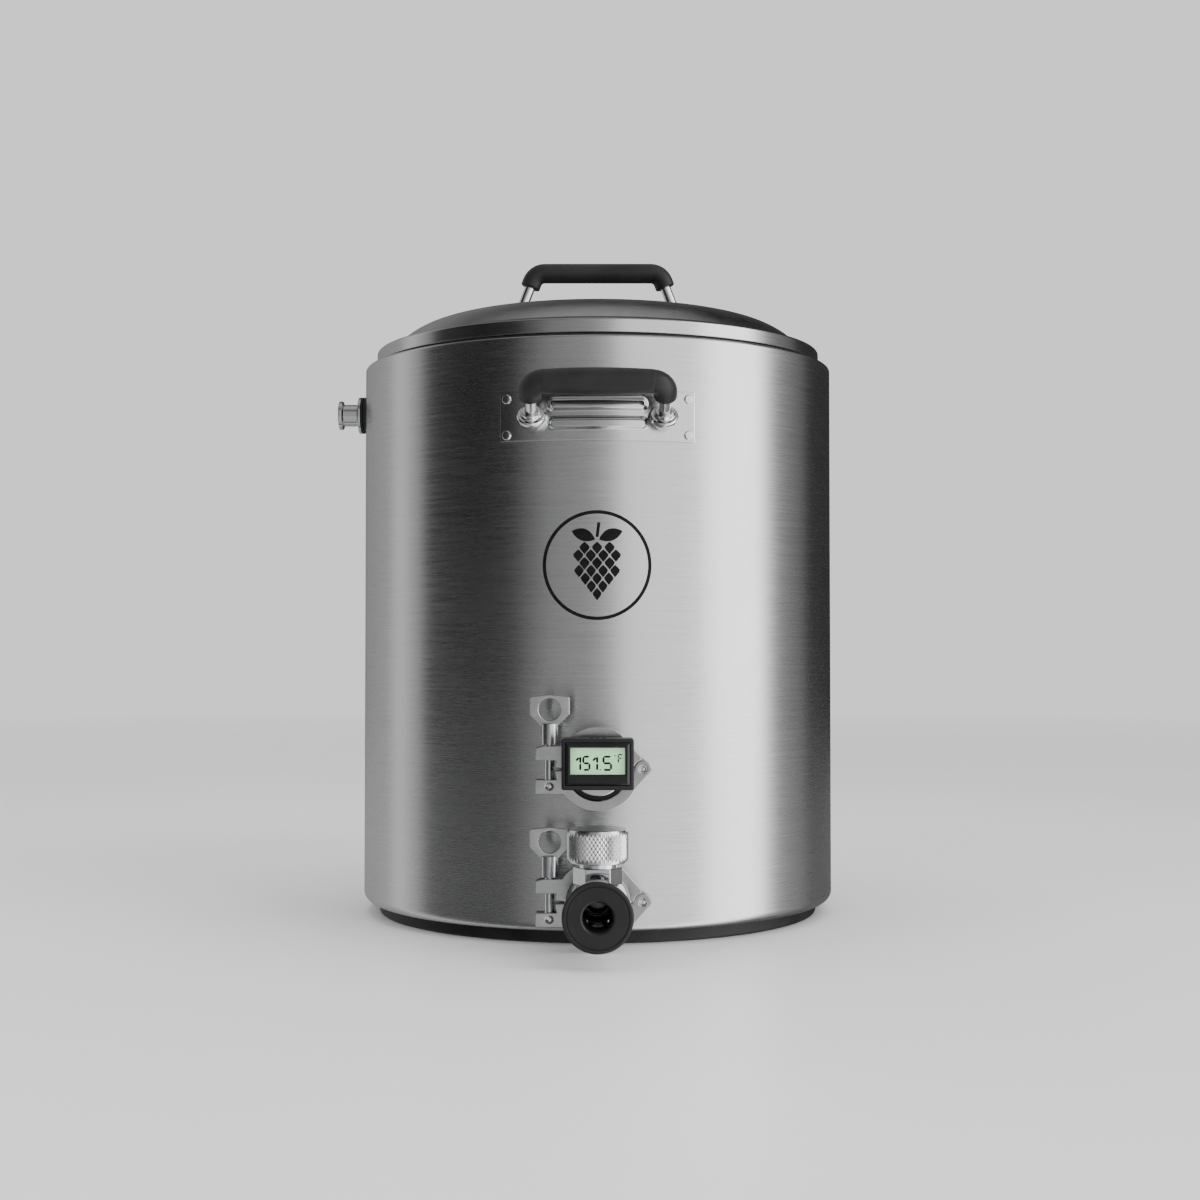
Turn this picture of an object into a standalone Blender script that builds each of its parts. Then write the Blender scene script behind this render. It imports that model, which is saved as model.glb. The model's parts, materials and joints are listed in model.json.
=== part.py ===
"""Insulated brew kettle: a double-walled pot on a base pad, with a lift-off lid, two handles,
a clamped thermometer, a clamped drain valve, a side port and a false bottom inside.

Metres, +Z up. The origin is the centre of the base pad's underside and +Z is the kettle's axis.
The drain valve and the thermometer face -Y and the side port faces -X.
"""
import math

import bmesh
import bpy
from mathutils import Vector

MM = 0.001

# Clearances
GAP = 0.3 * MM                # between two pieces that touch
SHEET = 1.2 * MM              # wall thickness of the shell and the pot

# Vessel
SHELL_R = 203.0 * MM
SHELL_BOTTOM = 10.5 * MM
SHELL_TOP = 467.7 * MM
SHELL_EDGE = 1.7 * MM         # bevel of the shell's upper edge
POT_R = 184.0 * MM
POT_FLOOR_R = 178.0 * MM      # below the ledge that carries the false bottom
LEDGE_Z = 58.0 * MM
FLOOR_Z = 22.0 * MM
SUMP_R = 30.0 * MM
SUMP_Z = 15.5 * MM
PAD_R = 189.5 * MM

# Lid
SKIRT_R = 193.2 * MM
SKIRT_TOP = 482.8 * MM
LID_SEAT = 469.5 * MM         # underside of the skirt
LID_TOP = 511.8 * MM
DOME_R = 178.0 * MM
DOME_POWER = 8.5              # flat top that rolls over near its rim
LID_SHEET = 1.0 * MM
LID_LIP_R = 182.5 * MM
LID_LIP_Z = 458.0 * MM

# Ports: heights of their axes, and distances from the kettle's axis
THERMO_Z = 136.9 * MM
DRAIN_Z = 38.2 * MM
SIDE_Z = 431.6 * MM
CLAMP_MID = 227.0 * MM        # middle plane of both clamps
FLANGE_R = 25.25 * MM
FLANGE_EDGE = 2.9 * MM
FLANGE_SLOPE = math.radians(20)
JOINT_HALF = 1.0 * MM         # clamp's middle plane to a flange face
THERMO_TUBE_R = 19.05 * MM
THERMO_TUBE_BORE = 17.4 * MM
DRAIN_TUBE_R = 12.7 * MM
SIDE_TUBE_R = 9.525 * MM

# Clamp, measured from the ring's centre
RING_R = 31.6 * MM
RING_INNER_R = 23.6 * MM
CLAMP_WIDTH = 14.0 * MM
PIN_R = 2.5 * MM
KNUCKLE_R = 6.4 * MM
HINGE = (33.7 * MM, 0.0)
BOLT_PIVOT = (-36.0 * MM, -12.8 * MM)
BOLT_R = 3.6 * MM
LUG_END = -46.4 * MM
LUG_TOP = 17.1 * MM
NUT_SEAT = 17.7 * MM
NUT_R = 6.4 * MM
HALF_SPLIT = 3.0              # degrees between the ring's middle and the end of a half
LUG_SPACE = 0.4 * MM          # between the hinge's knuckle and the lugs around it

# Thermometer, distances from the kettle's axis along -Y
WELL_R = 4.75 * MM
WELL_BORE = 3.6 * MM
WELL_TIP = 95.0 * MM
HUB_R = 20.0 * MM
HUB_FACE = 236.0 * MM
DISPLAY_BACK = 250.0 * MM
HOLDER_FRONT = 272.8 * MM
CASE_BACK = 257.5 * MM
CASE_FRONT = 274.2 * MM
HOLDER_HALF = 26.2 * MM
HOLDER_LOW = -12.3 * MM       # from the thermometer port's axis
HOLDER_HIGH = 24.7 * MM
HOLDER_WALL = 2.5 * MM

# Drain valve, distances from the kettle's axis along -Y
BORE_R = 11.05 * MM
KNOB_AXIS = 266.0 * MM
KNOB_R = 22.3 * MM
KNOB_BOTTOM = 72.2 * MM
KNOB_TOP = 96.5 * MM
OUTLET_FACE = 308.0 * MM
PLUNGER_R = 11.3 * MM
BONNET_CAP = 83.0 * MM
STEM_R = 4.0 * MM

# Handles
ROD_R = 4.5 * MM
HANDLE_Z = 403.5 * MM
HANDLE_TILT = math.radians(38.5)
HANDLE_HALF = 51.0 * MM
HANDLE_REACH = 37.3 * MM
PLATE_BACK = SHELL_R + GAP
PLATE_T = 1.5 * MM
PLATE_HALF_ANGLE = math.radians(21.6)
PLATE_BOTTOM = 385.8 * MM
PLATE_TOP = 424.6 * MM
SIDE_GRIP_START = 21.0 * MM   # from the plate, along the leg
RIVET_SPREAD = 69.6 * MM
RIVET_LEVELS = (390.9 * MM, 418.8 * MM)

# Facets around a full turn
LARGE = 40
MEDIUM = 20
SMALL = 12
TINY = 1e-9


# ---------------------------------------------------------------- materials

def finish(name, colour, metallic, roughness):
    """Principled material, made once for each finish."""
    made = bpy.data.materials.get(name)
    if made:
        return made
    made = bpy.data.materials.new(name)
    made.use_nodes = True
    shader = made.node_tree.nodes["Principled BSDF"]
    shader.inputs["Base Color"].default_value = (*colour, 1.0)
    shader.inputs["Metallic"].default_value = metallic
    shader.inputs["Roughness"].default_value = roughness
    return made


def brushed_steel():
    return finish("brushed_steel", (0.62, 0.62, 0.64), 1.0, 0.32)


def polished_steel():
    return finish("polished_steel", (0.72, 0.72, 0.74), 1.0, 0.12)


def black_rubber():
    return finish("black_rubber", (0.012, 0.012, 0.013), 0.0, 0.45)


def black_plastic():
    return finish("black_plastic", (0.014, 0.014, 0.015), 0.0, 0.35)


def white_silicone():
    return finish("white_silicone", (0.75, 0.76, 0.75), 0.0, 0.5)


def foam():
    return finish("foam", (0.80, 0.72, 0.48), 0.0, 0.9)


def lcd_green():
    return finish("lcd_green", (0.46, 0.72, 0.44), 0.0, 0.4)


def clear_plastic():
    return finish("clear_plastic", (0.85, 0.95, 0.88), 0.0, 0.05)


def board_green():
    return finish("board_green", (0.02, 0.16, 0.06), 0.0, 0.5)


# ---------------------------------------------------------------- outlines

def arc(centre, radius, start, end, steps):
    """Points on a circle between two angles in degrees, both ends included."""
    points = []
    for i in range(steps + 1):
        angle = math.radians(start + (end - start) * i / steps)
        points.append((centre[0] + radius * math.cos(angle), centre[1] + radius * math.sin(angle)))
    return points


def offset(path, distance):
    """A path moved to its left by a distance, with mitred corners."""
    moved = []
    for i, point in enumerate(path):
        sides = []
        for a, b in ((i - 1, i), (i, i + 1)):
            if a >= 0 and b < len(path):
                along = Vector(path[b]) - Vector(path[a])
                sides.append(Vector((-along.y, along.x)).normalized())
        normal = sum(sides, Vector((0.0, 0.0))).normalized()
        moved.append(tuple(Vector(point) + normal * (distance / normal.dot(sides[0]))))
    return moved


def sheet(path, thickness):
    """Closed outline of sheet metal that follows a path and lies to its left."""
    return path + offset(path, thickness)[::-1]


def box_outline(left, right, low, high):
    return [(left, low), (right, low), (right, high), (left, high)]


# ---------------------------------------------------------------- solids

def add_object(name, mesh, material, parent=None, location=(0, 0, 0)):
    """Object made from a bmesh, with its faces pointing out."""
    bmesh.ops.recalc_face_normals(mesh, faces=mesh.faces)
    data = bpy.data.meshes.new(name)
    mesh.to_mesh(data)
    mesh.free()
    if material:
        data.materials.append(material)
        data.shade_smooth()
        data.set_sharp_from_angle(angle=math.radians(35))
    made = bpy.data.objects.new(name, data)
    bpy.context.collection.objects.link(made)
    made.parent = parent
    made.location = location
    return made


def station(name, location, rotation):
    """Empty that carries the pieces of one fitting in its own frame."""
    made = bpy.data.objects.new(name, None)
    bpy.context.collection.objects.link(made)
    made.location = location
    made.rotation_euler = rotation
    return made


def turned(name, profile, material=None, segments=LARGE, **place):
    """Solid of revolution about Z from a closed outline of (radius, height) points.

    A tool, which has no material, is turned by part of a facet to keep its edges off the piece's.
    """
    mesh = bmesh.new()
    phase = 0.0 if material else 0.37
    rings = []
    for radius, height in profile:
        count = segments if radius > TINY else 1
        ring = []
        for i in range(count):
            angle = 2 * math.pi * (i + phase) / count
            ring.append(mesh.verts.new((radius * math.cos(angle), radius * math.sin(angle), height)))
        rings.append(ring)
    for lower, upper in zip(rings, rings[1:] + rings[:1]):
        if len(lower) == 1 and len(upper) == 1:
            continue
        for i in range(segments):
            corners = [lower[i % len(lower)], lower[(i + 1) % len(lower)],
                       upper[(i + 1) % len(upper)], upper[i % len(upper)]]
            mesh.faces.new(list(dict.fromkeys(corners)))
    return add_object(name, mesh, material, **place)


def prism(name, outline, low, high, material=None, **place):
    """Outline in X and Y, extruded from one height to another."""
    mesh = bmesh.new()
    bottom = [mesh.verts.new((x, y, low)) for x, y in outline]
    top = [mesh.verts.new((x, y, high)) for x, y in outline]
    mesh.faces.new(bottom)
    mesh.faces.new(top)
    for i in range(len(outline)):
        j = (i + 1) % len(outline)
        mesh.faces.new((bottom[i], bottom[j], top[j], top[i]))
    return add_object(name, mesh, material, **place)


def rod(name, radius, low, high, material=None, segments=SMALL, **place):
    """Round bar along Z."""
    return turned(name, [(0, low), (radius, low), (radius, high), (0, high)], material, segments, **place)


def tube(name, inner, outer, low, high, material=None, segments=MEDIUM, **place):
    """Round tube along Z."""
    outline = [(inner, low), (outer, low), (outer, high), (inner, high)]
    return turned(name, outline, material, segments, **place)


def swept(name, path, radii, across, material=None, sides=12, bore=0.0, **place):
    """Round bar or tube along a flat path; across is the normal of the path's plane."""
    mesh = bmesh.new()
    across = Vector(across).normalized()
    walls = [radii] + ([[bore] * len(path)] if bore else [])
    layers = []
    for sizes in walls:
        rings = []
        for i, centre in enumerate(path):
            before = path[max(i - 1, 0)]
            after = path[min(i + 1, len(path) - 1)]
            other = (Vector(after) - Vector(before)).normalized().cross(across)
            ring = []
            for k in range(sides):
                angle = 2 * math.pi * k / sides
                spoke = across * math.cos(angle) + other * math.sin(angle)
                ring.append(mesh.verts.new(Vector(centre) + spoke * sizes[i]))
            rings.append(ring)
        layers.append(rings)
        for first, second in zip(rings, rings[1:]):
            for k in range(sides):
                j = (k + 1) % sides
                mesh.faces.new((first[k], first[j], second[j], second[k]))
    for end in (0, -1):
        if bore:
            outer, inner = layers[0][end], layers[1][end]
            for k in range(sides):
                j = (k + 1) % sides
                mesh.faces.new((outer[k], outer[j], inner[j], inner[k]))
        else:
            mesh.faces.new(layers[0][end])
    return add_object(name, mesh, material, **place)


def cut(target, tool, operation="DIFFERENCE"):
    """Subtract a tool from a piece, or join it on."""
    step = target.modifiers.new(tool.name, "BOOLEAN")
    step.object = tool
    step.operation = operation
    step.solver = "EXACT"
    tool.hide_render = True
    tool.display_type = "WIRE"


def join(target, tool):
    cut(target, tool, "UNION")


def rounded_path(corners, bend, steps):
    """Flat path through corners, each one replaced by an arc of the bend radius."""
    points = [Vector(corners[0])]
    for before, corner, after in zip(corners, corners[1:], corners[2:]):
        corner = Vector(corner)
        back = (Vector(before) - corner).normalized()
        ahead = (Vector(after) - corner).normalized()
        half = math.acos(max(-1.0, min(1.0, back.dot(ahead)))) / 2
        inward = (back + ahead).normalized()
        centre = corner + inward * (bend / math.sin(half))
        start = corner + back * (bend / math.tan(half)) - centre
        turn = math.pi - 2 * half
        for i in range(steps + 1):
            angle = turn * i / steps
            points.append(centre + start * math.cos(angle) - back * bend * math.sin(angle))
    points.append(Vector(corners[-1]))
    return points


# ---------------------------------------------------------------- vessel

def pot_path():
    """Inner surface of the pot, from its rim to the middle of its floor."""
    corner = 4 * MM
    return [(POT_R, SHELL_TOP), (POT_R, LEDGE_Z), (POT_FLOOR_R, LEDGE_Z), (POT_FLOOR_R, FLOOR_Z + corner),
            (POT_FLOOR_R - corner, FLOOR_Z), (SUMP_R + 2 * MM, FLOOR_Z - 2.5 * MM), (SUMP_R, SUMP_Z),
            (0, SUMP_Z)]


def make_base_pad():
    edge = 1 * MM
    top = SHELL_BOTTOM - GAP
    outline = [(0, 0), (PAD_R - edge, 0), (PAD_R, edge), (PAD_R, top), (0, top)]
    turned("base_pad", outline, black_rubber())


def make_outer_shell(cutters):
    fillet = 8 * MM
    middle = (SHELL_R - fillet, SHELL_BOTTOM + fillet)
    outside = [(0, SHELL_BOTTOM)] + arc(middle, fillet, -90, 0, 2)
    outside += [(SHELL_R, SHELL_TOP - SHELL_EDGE), (SHELL_R - SHELL_EDGE, SHELL_TOP),
                (POT_R + SHEET + GAP, SHELL_TOP)]
    shell = turned("outer_shell", sheet(outside, SHEET), brushed_steel())
    for cutter in cutters:
        cut(shell, cutter)


def make_inner_pot(cutters):
    path = pot_path()
    outline = sheet(path[::-1], -SHEET)
    pot = turned("inner_pot", outline, brushed_steel())
    for cutter in cutters:
        cut(pot, cutter)


def make_insulation(cutters):
    inside = offset(pot_path()[::-1], -(SHEET + GAP))[::-1]
    low = SHELL_BOTTOM + SHEET + GAP
    high = SHELL_TOP - SHEET - GAP
    reach = SHELL_R - SHEET - GAP
    corner = 7 * MM
    outline = [(0, low), (reach - corner, low), (reach, low + corner), (reach, high - SHELL_EDGE),
               (reach - SHELL_EDGE, high), (inside[0][0], high)]
    jacket = turned("insulation_foam", outline + inside[1:], foam())
    for cutter in cutters:
        cut(jacket, cutter)


# ---------------------------------------------------------------- false bottom

def make_false_bottom():
    seat = LEDGE_Z + GAP
    lip = 1 * MM
    plate_r = 180.0 * MM
    plate_z = seat + lip + GAP
    plate_t = 1.5 * MM
    rim_inner = plate_r - 1.6 * MM
    rim_outer = POT_R - 2 * GAP
    rim_top = plate_z + plate_t
    rim = [(rim_inner, seat), (rim_outer, seat), (rim_outer, rim_top), (plate_r + GAP, rim_top),
           (plate_r + GAP, seat + lip), (rim_inner, seat + lip)]
    turned("false_bottom_gasket", rim, white_silicone())
    plate = turned("false_bottom", [(0, plate_z), (plate_r, plate_z), (plate_r, plate_z + plate_t),
                                    (0, plate_z + plate_t)], brushed_steel())
    slots = bmesh.new()
    for ring, count in ((60 * MM, 8), (120 * MM, 16)):
        for i in range(count):
            add_slot(slots, ring, 2 * math.pi * (i + 0.5) / count, plate_z)
    cut(plate, add_object("false_bottom_slots", slots, None))
    make_lifting_loop(plate_z + plate_t + GAP)


def add_slot(mesh, distance, angle, level):
    """Cutter of one drain slot, square to the radius at an angle, added to a mesh of them."""
    half_length = 13 * MM
    half_width = 1.5 * MM
    radial = Vector((math.cos(angle), math.sin(angle), 0))
    along = Vector((-math.sin(angle), math.cos(angle), 0))
    rings = []
    for height in (level - 3 * MM, level + 5 * MM):
        middle = radial * distance + Vector((0, 0, height))
        corners = ((-1, -1), (1, -1), (1, 1), (-1, 1))
        rings.append([mesh.verts.new(middle + radial * half_width * a + along * half_length * b)
                      for a, b in corners])
    mesh.faces.new(rings[0][::-1])
    mesh.faces.new(rings[1])
    for i in range(4):
        j = (i + 1) % 4
        mesh.faces.new((rings[0][i], rings[0][j], rings[1][j], rings[1][i]))


def make_lifting_loop(foot):
    half = 24 * MM
    top = foot + 22 * MM
    radius = 2.5 * MM
    path = rounded_path([(-half, 0, foot), (-half, 0, top), (half, 0, top), (half, 0, foot)], 7 * MM, 4)
    swept("false_bottom_loop", path, [radius] * len(path), (0, 1, 0), brushed_steel(), sides=8)


# ---------------------------------------------------------------- clamped fittings

def ferrule(name, bore, wall, inner_end, parent):
    """Tube welded through both walls, with a clamp flange at its outer end."""
    face = CLAMP_MID - JOINT_HALF
    edge = face - FLANGE_EDGE
    root = min(wall + 6.2 * MM, 21 * MM)
    slope = (FLANGE_R - root) * math.tan(FLANGE_SLOPE)
    outline = [(bore, inner_end), (wall, inner_end), (wall, edge - slope - 0.4 * MM), (root, edge - slope),
               (FLANGE_R, edge), (FLANGE_R, face), (bore, face)]
    return turned(name, outline, brushed_steel(), MEDIUM, parent=parent)


def flange_gasket(name, bore, parent):
    half = JOINT_HALF - GAP
    tube(name, bore, FLANGE_R - GAP, CLAMP_MID - half, CLAMP_MID + half, white_silicone(), parent=parent)


def ring_point(height, side=1):
    """Point of the clamp ring's outside at a height."""
    return (side * math.sqrt(RING_R ** 2 - height ** 2), height)


def angle_of(point):
    return math.degrees(math.atan2(point[1], point[0]))


def upper_half_outline():
    inner = arc((0, 0), RING_INNER_R, 180 - HALF_SPLIT, HALF_SPLIT, 9)
    clearance = KNUCKLE_R + LUG_SPACE
    meet = 180 - math.degrees(math.asin(inner[-1][1] / clearance))
    notch = arc(HINGE, clearance, meet, 100, 5)
    lug_tip = (32.6 * MM, 9.1 * MM)
    shoulder = ring_point(26.5 * MM)
    lug_left = ring_point(LUG_TOP, -1)
    over = arc((0, 0), RING_R, angle_of(shoulder), angle_of(lug_left), 6)
    swing = NUT_SEAT - GAP - BOLT_PIVOT[1]
    start = 90 + math.degrees(math.acos((LUG_TOP - BOLT_PIVOT[1]) / swing))
    end = 90 + math.degrees(math.asin((BOLT_PIVOT[0] - LUG_END) / swing))
    crown = arc(BOLT_PIVOT, swing, start, end, 3)
    lug_low = 6.5 * MM
    under = arc((0, 0), RING_R, 180 - angle_of(ring_point(lug_low)), 180 - HALF_SPLIT, 2)
    return inner + notch + [lug_tip] + over + crown + [(LUG_END, lug_low)] + under


def lower_half_outline():
    inner = arc((0, 0), RING_INNER_R, -HALF_SPLIT, -180 + HALF_SPLIT, 9)
    knuckle_end = 180 + math.degrees(math.asin(-inner[0][1] / KNUCKLE_R))
    knuckle = arc(HINGE, KNUCKLE_R, 15, knuckle_end, 6)
    tip = (40.8 * MM, -0.5 * MM)
    shoulder = ring_point(-14.8 * MM)
    lug_low = -18.4 * MM
    lug_high = -7.9 * MM
    under = arc((0, 0), RING_R, -180 - angle_of(ring_point(lug_low, 1)), angle_of(shoulder), 7)
    side = arc((0, 0), RING_R, -180 + HALF_SPLIT, -180 - angle_of(ring_point(lug_high)), 2)
    return inner + side + [(LUG_END, lug_high), (LUG_END, lug_low)] + under + [tip] + knuckle


def clamp_groove(name, parent):
    """Cutter of the tapered groove that grips the two flanges."""
    deep = FLANGE_R + 0.4 * MM
    shallow = 18 * MM
    half = FLANGE_EDGE + JOINT_HALF + 0.2 * MM
    flare = (deep - shallow) * math.tan(FLANGE_SLOPE)
    outline = [(shallow, CLAMP_MID - half - flare), (deep, CLAMP_MID - half),
               (deep, CLAMP_MID + half), (shallow, CLAMP_MID + half + flare)]
    return turned(name, outline, None, MEDIUM, parent=parent)


def middle_prism(name, outline, half_width, parent, material=None):
    """Prism centred on the clamp's middle plane."""
    return prism(name, outline, CLAMP_MID - half_width, CLAMP_MID + half_width, material, parent=parent)


def make_clamp(label, height, front):
    """Two-part hinged clamp with a swing bolt and a wing nut, in the frame of the front fittings."""
    port = station(label + "_frame", (0, height, 0), (0, 0, 0))
    port.parent = front
    half_width = CLAMP_WIDTH / 2
    ear_gap = 3.8 * MM
    groove = clamp_groove(label + "_groove", port)
    slot_r = BOLT_R + GAP
    hinge_hole = middle_prism(label + "_hinge_hole", arc(HINGE, PIN_R + GAP, 0, 324, 9), 9 * MM, port)

    upper = middle_prism(label + "_upper_half", upper_half_outline(), half_width, port, polished_steel())
    tongue = arc(HINGE, KNUCKLE_R, -120, 50, 7) + [(31.5 * MM, 10 * MM), (26 * MM, 7 * MM)]
    join(upper, middle_prism(label + "_tongue", tongue, ear_gap - GAP, port))
    cut(upper, groove)
    upper_slot = box_outline(LUG_END - 2 * MM, BOLT_PIVOT[0] + slot_r + GAP, 4 * MM, LUG_TOP + 2 * MM)
    cut(upper, middle_prism(label + "_upper_slot", upper_slot, slot_r, port))
    cut(upper, hinge_hole)

    lower = middle_prism(label + "_lower_half", lower_half_outline(), half_width, port, polished_steel())
    eye_r = 5.0 * MM
    lower_slot = box_outline(LUG_END - 2 * MM, BOLT_PIVOT[0] + eye_r + GAP, -21 * MM, -5 * MM)
    cut(lower, middle_prism(label + "_lower_slot", lower_slot, slot_r, port))
    ear_space = arc(HINGE, KNUCKLE_R + LUG_SPACE, 0, 336, 14)
    cut(lower, middle_prism(label + "_ear_slot", ear_space, ear_gap, port))
    cut(lower, groove)
    cut(lower, hinge_hole)
    pivot_hole = arc(BOLT_PIVOT, PIN_R + GAP, 0, 324, 9)
    cut(lower, middle_prism(label + "_pivot_hole", pivot_hole, 9 * MM, port))

    pin_half = half_width + GAP
    for name, (x, y) in (("_hinge_pin", HINGE), ("_bolt_pin", BOLT_PIVOT)):
        rod(label + name, PIN_R, -pin_half, pin_half, polished_steel(), 10, parent=port,
            location=(x, y, CLAMP_MID))
    make_swing_bolt(label, port, eye_r)
    make_wing_nut(label, port)


def make_swing_bolt(label, port, eye_r):
    """Eye bolt; its origin is the pivot that it swings about."""
    half = BOLT_R - 2 * GAP / 3
    place = {"parent": port, "location": (*BOLT_PIVOT, CLAMP_MID)}
    eye = arc((0, 0), eye_r, 0, 336, 14)
    bolt = prism(label + "_swing_bolt", eye, -half, half, polished_steel(), **place)
    length = 31.0 * MM - BOLT_PIVOT[1]
    shank = rod(label + "_shank", BOLT_R, 4 * MM, length, None, 12, **place)
    shank.rotation_euler = (-math.pi / 2, 0, 0)
    join(bolt, shank)
    cut(bolt, rod(label + "_eye_hole", PIN_R + GAP, -6 * MM, 6 * MM, None, 10, **place))


def make_wing_nut(label, port):
    """Wing nut with a round eye; its origin is on the bolt's axis."""
    head_low = 31.4 * MM
    head_side = 40.5 * MM
    shoulder = 53.6 * MM
    crown = 55.2 * MM
    half = 15.0 * MM
    thick = 2.4 * MM
    place = {"parent": port, "location": (BOLT_PIVOT[0], 0, CLAMP_MID)}
    outline = [(-NUT_R, head_low), (NUT_R, head_low), (half, head_side), (half, shoulder), (0, crown),
               (-half, shoulder), (-half, head_side)]
    nut = prism(label + "_wing_nut", outline, -thick, thick, polished_steel(), **place)
    barrel = rod(label + "_barrel", NUT_R, NUT_SEAT, 34 * MM, None, 14, **place)
    barrel.rotation_euler = (-math.pi / 2, 0, 0)
    join(nut, barrel)
    eye = arc((0, 44.2 * MM), 8.3 * MM, 0, 342, 19)
    cut(nut, prism(label + "_wing_eye", eye, -8 * MM, 8 * MM, None, **place))
    bore = rod(label + "_nut_bore", BOLT_R + GAP, 15 * MM, 31.8 * MM, None, 12, **place)
    bore.rotation_euler = (-math.pi / 2, 0, 0)
    cut(nut, bore)


# ---------------------------------------------------------------- thermometer

def make_thermometer(front):
    port = station("thermometer_frame", (0, THERMO_Z, 0), (0, 0, 0))
    port.parent = front
    ferrule("thermo_ferrule", THERMO_TUBE_BORE, THERMO_TUBE_R, 182.0 * MM, port)
    flange_gasket("thermo_gasket", THERMO_TUBE_BORE + 0.2 * MM, port)
    make_thermowell(port)
    make_display(port)


def make_thermowell(port):
    """Clamp cap with a closed tube that reaches into the pot."""
    face = CLAMP_MID + JOINT_HALF
    edge = face + FLANGE_EDGE
    root = 22.5 * MM
    slope = (FLANGE_R - root) * math.tan(FLANGE_SLOPE)
    outline = [(0, WELL_TIP), (3.2 * MM, WELL_TIP + 0.5 * MM), (WELL_R, WELL_TIP + 2 * MM), (WELL_R, face),
               (FLANGE_R, face), (FLANGE_R, edge), (root, edge + slope), (HUB_R, edge + slope),
               (HUB_R, HUB_FACE), (WELL_BORE, HUB_FACE), (WELL_BORE, WELL_TIP + 3 * MM),
               (0, WELL_TIP + 3 * MM)]
    turned("thermowell_cap", outline, polished_steel(), MEDIUM, parent=port)


def make_display(port):
    """Black holder on a neck, and the display unit that snaps into it."""
    neck_r = 11 * MM
    back = DISPLAY_BACK
    holder = prism("display_holder", box_outline(-HOLDER_HALF, HOLDER_HALF, HOLDER_LOW, HOLDER_HIGH),
                   back, HOLDER_FRONT, black_plastic(), parent=port)
    join(holder, rod("holder_neck", neck_r, HUB_FACE + GAP, back + 1 * MM, None, 20, parent=port))
    low = HOLDER_LOW + HOLDER_WALL + 0.7 * MM
    high = HOLDER_HIGH - HOLDER_WALL
    inside = HOLDER_HALF - HOLDER_WALL
    floor = back + HOLDER_WALL
    cut(holder, prism("holder_cavity", box_outline(-inside, inside, low, high), floor, CASE_FRONT + 2 * MM,
                      None, parent=port))
    cut(holder, rod("holder_bore", 3.4 * MM, HUB_FACE - 2 * MM, floor + 2 * MM, None, 12, parent=port))
    rod("temp_probe", 3.0 * MM, WELL_TIP + 4 * MM, floor + 0.8 * MM, polished_steel(), 12, parent=port)

    fit = 0.4 * MM
    case_box = box_outline(-inside + fit, inside - fit, low + fit, high - fit)
    case = prism("display_case", case_box, CASE_BACK, CASE_FRONT, black_plastic(), parent=port)
    skin = 1.6 * MM
    hollow = box_outline(-inside + fit + skin, inside - fit - skin, low + fit + skin, high - fit - skin)
    cut(case, prism("case_hollow", hollow, 250 * MM, CASE_FRONT - 2 * MM, None, parent=port))
    window = [-19.7 * MM, 19.7 * MM, -0.9 * MM, 18.3 * MM]
    cut(case, prism("case_opening", box_outline(*window), 270 * MM, CASE_FRONT + 2 * MM, None, parent=port))
    pane = [window[0] + GAP, window[1] - GAP, window[2] + GAP, window[3] - GAP]
    prism("display_window", box_outline(*pane), CASE_FRONT - 2 * MM, CASE_FRONT - 0.7 * MM,
          clear_plastic(), parent=port)
    panel = box_outline(-21 * MM, 21 * MM, -2.2 * MM, 19.2 * MM)
    panel_front = CASE_FRONT - 2.3 * MM
    prism("lcd_panel", panel, panel_front - 2.4 * MM, panel_front, lcd_green(), parent=port)
    board_front = panel_front - 2.4 * MM - GAP
    board = box_outline(-20.5 * MM, 20.5 * MM, -5 * MM, 19 * MM)
    prism("circuit_board", board, board_front - 1.6 * MM, board_front, board_green(), parent=port)
    cell_front = board_front - 1.6 * MM - GAP
    rod("button_cell", 5.8 * MM, cell_front - 5.4 * MM, cell_front, polished_steel(), 20,
        parent=port, location=(0, 8 * MM, 0))


# ---------------------------------------------------------------- drain

def make_pickup_tube():
    """Tube from inside the drain ferrule to just above the sump's floor."""
    bend = 18 * MM
    start = CLAMP_MID - JOINT_HALF - 1.5 * MM
    corners = [(0, -start, DRAIN_Z), (0, 0, DRAIN_Z), (0, 0, SUMP_Z + 2.5 * MM)]
    path = rounded_path(corners, bend, 5)
    radius = BORE_R - GAP
    swept("pickup_tube", path, [radius] * len(path), (1, 0, 0), brushed_steel(), sides=12, bore=9.0 * MM)


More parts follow.
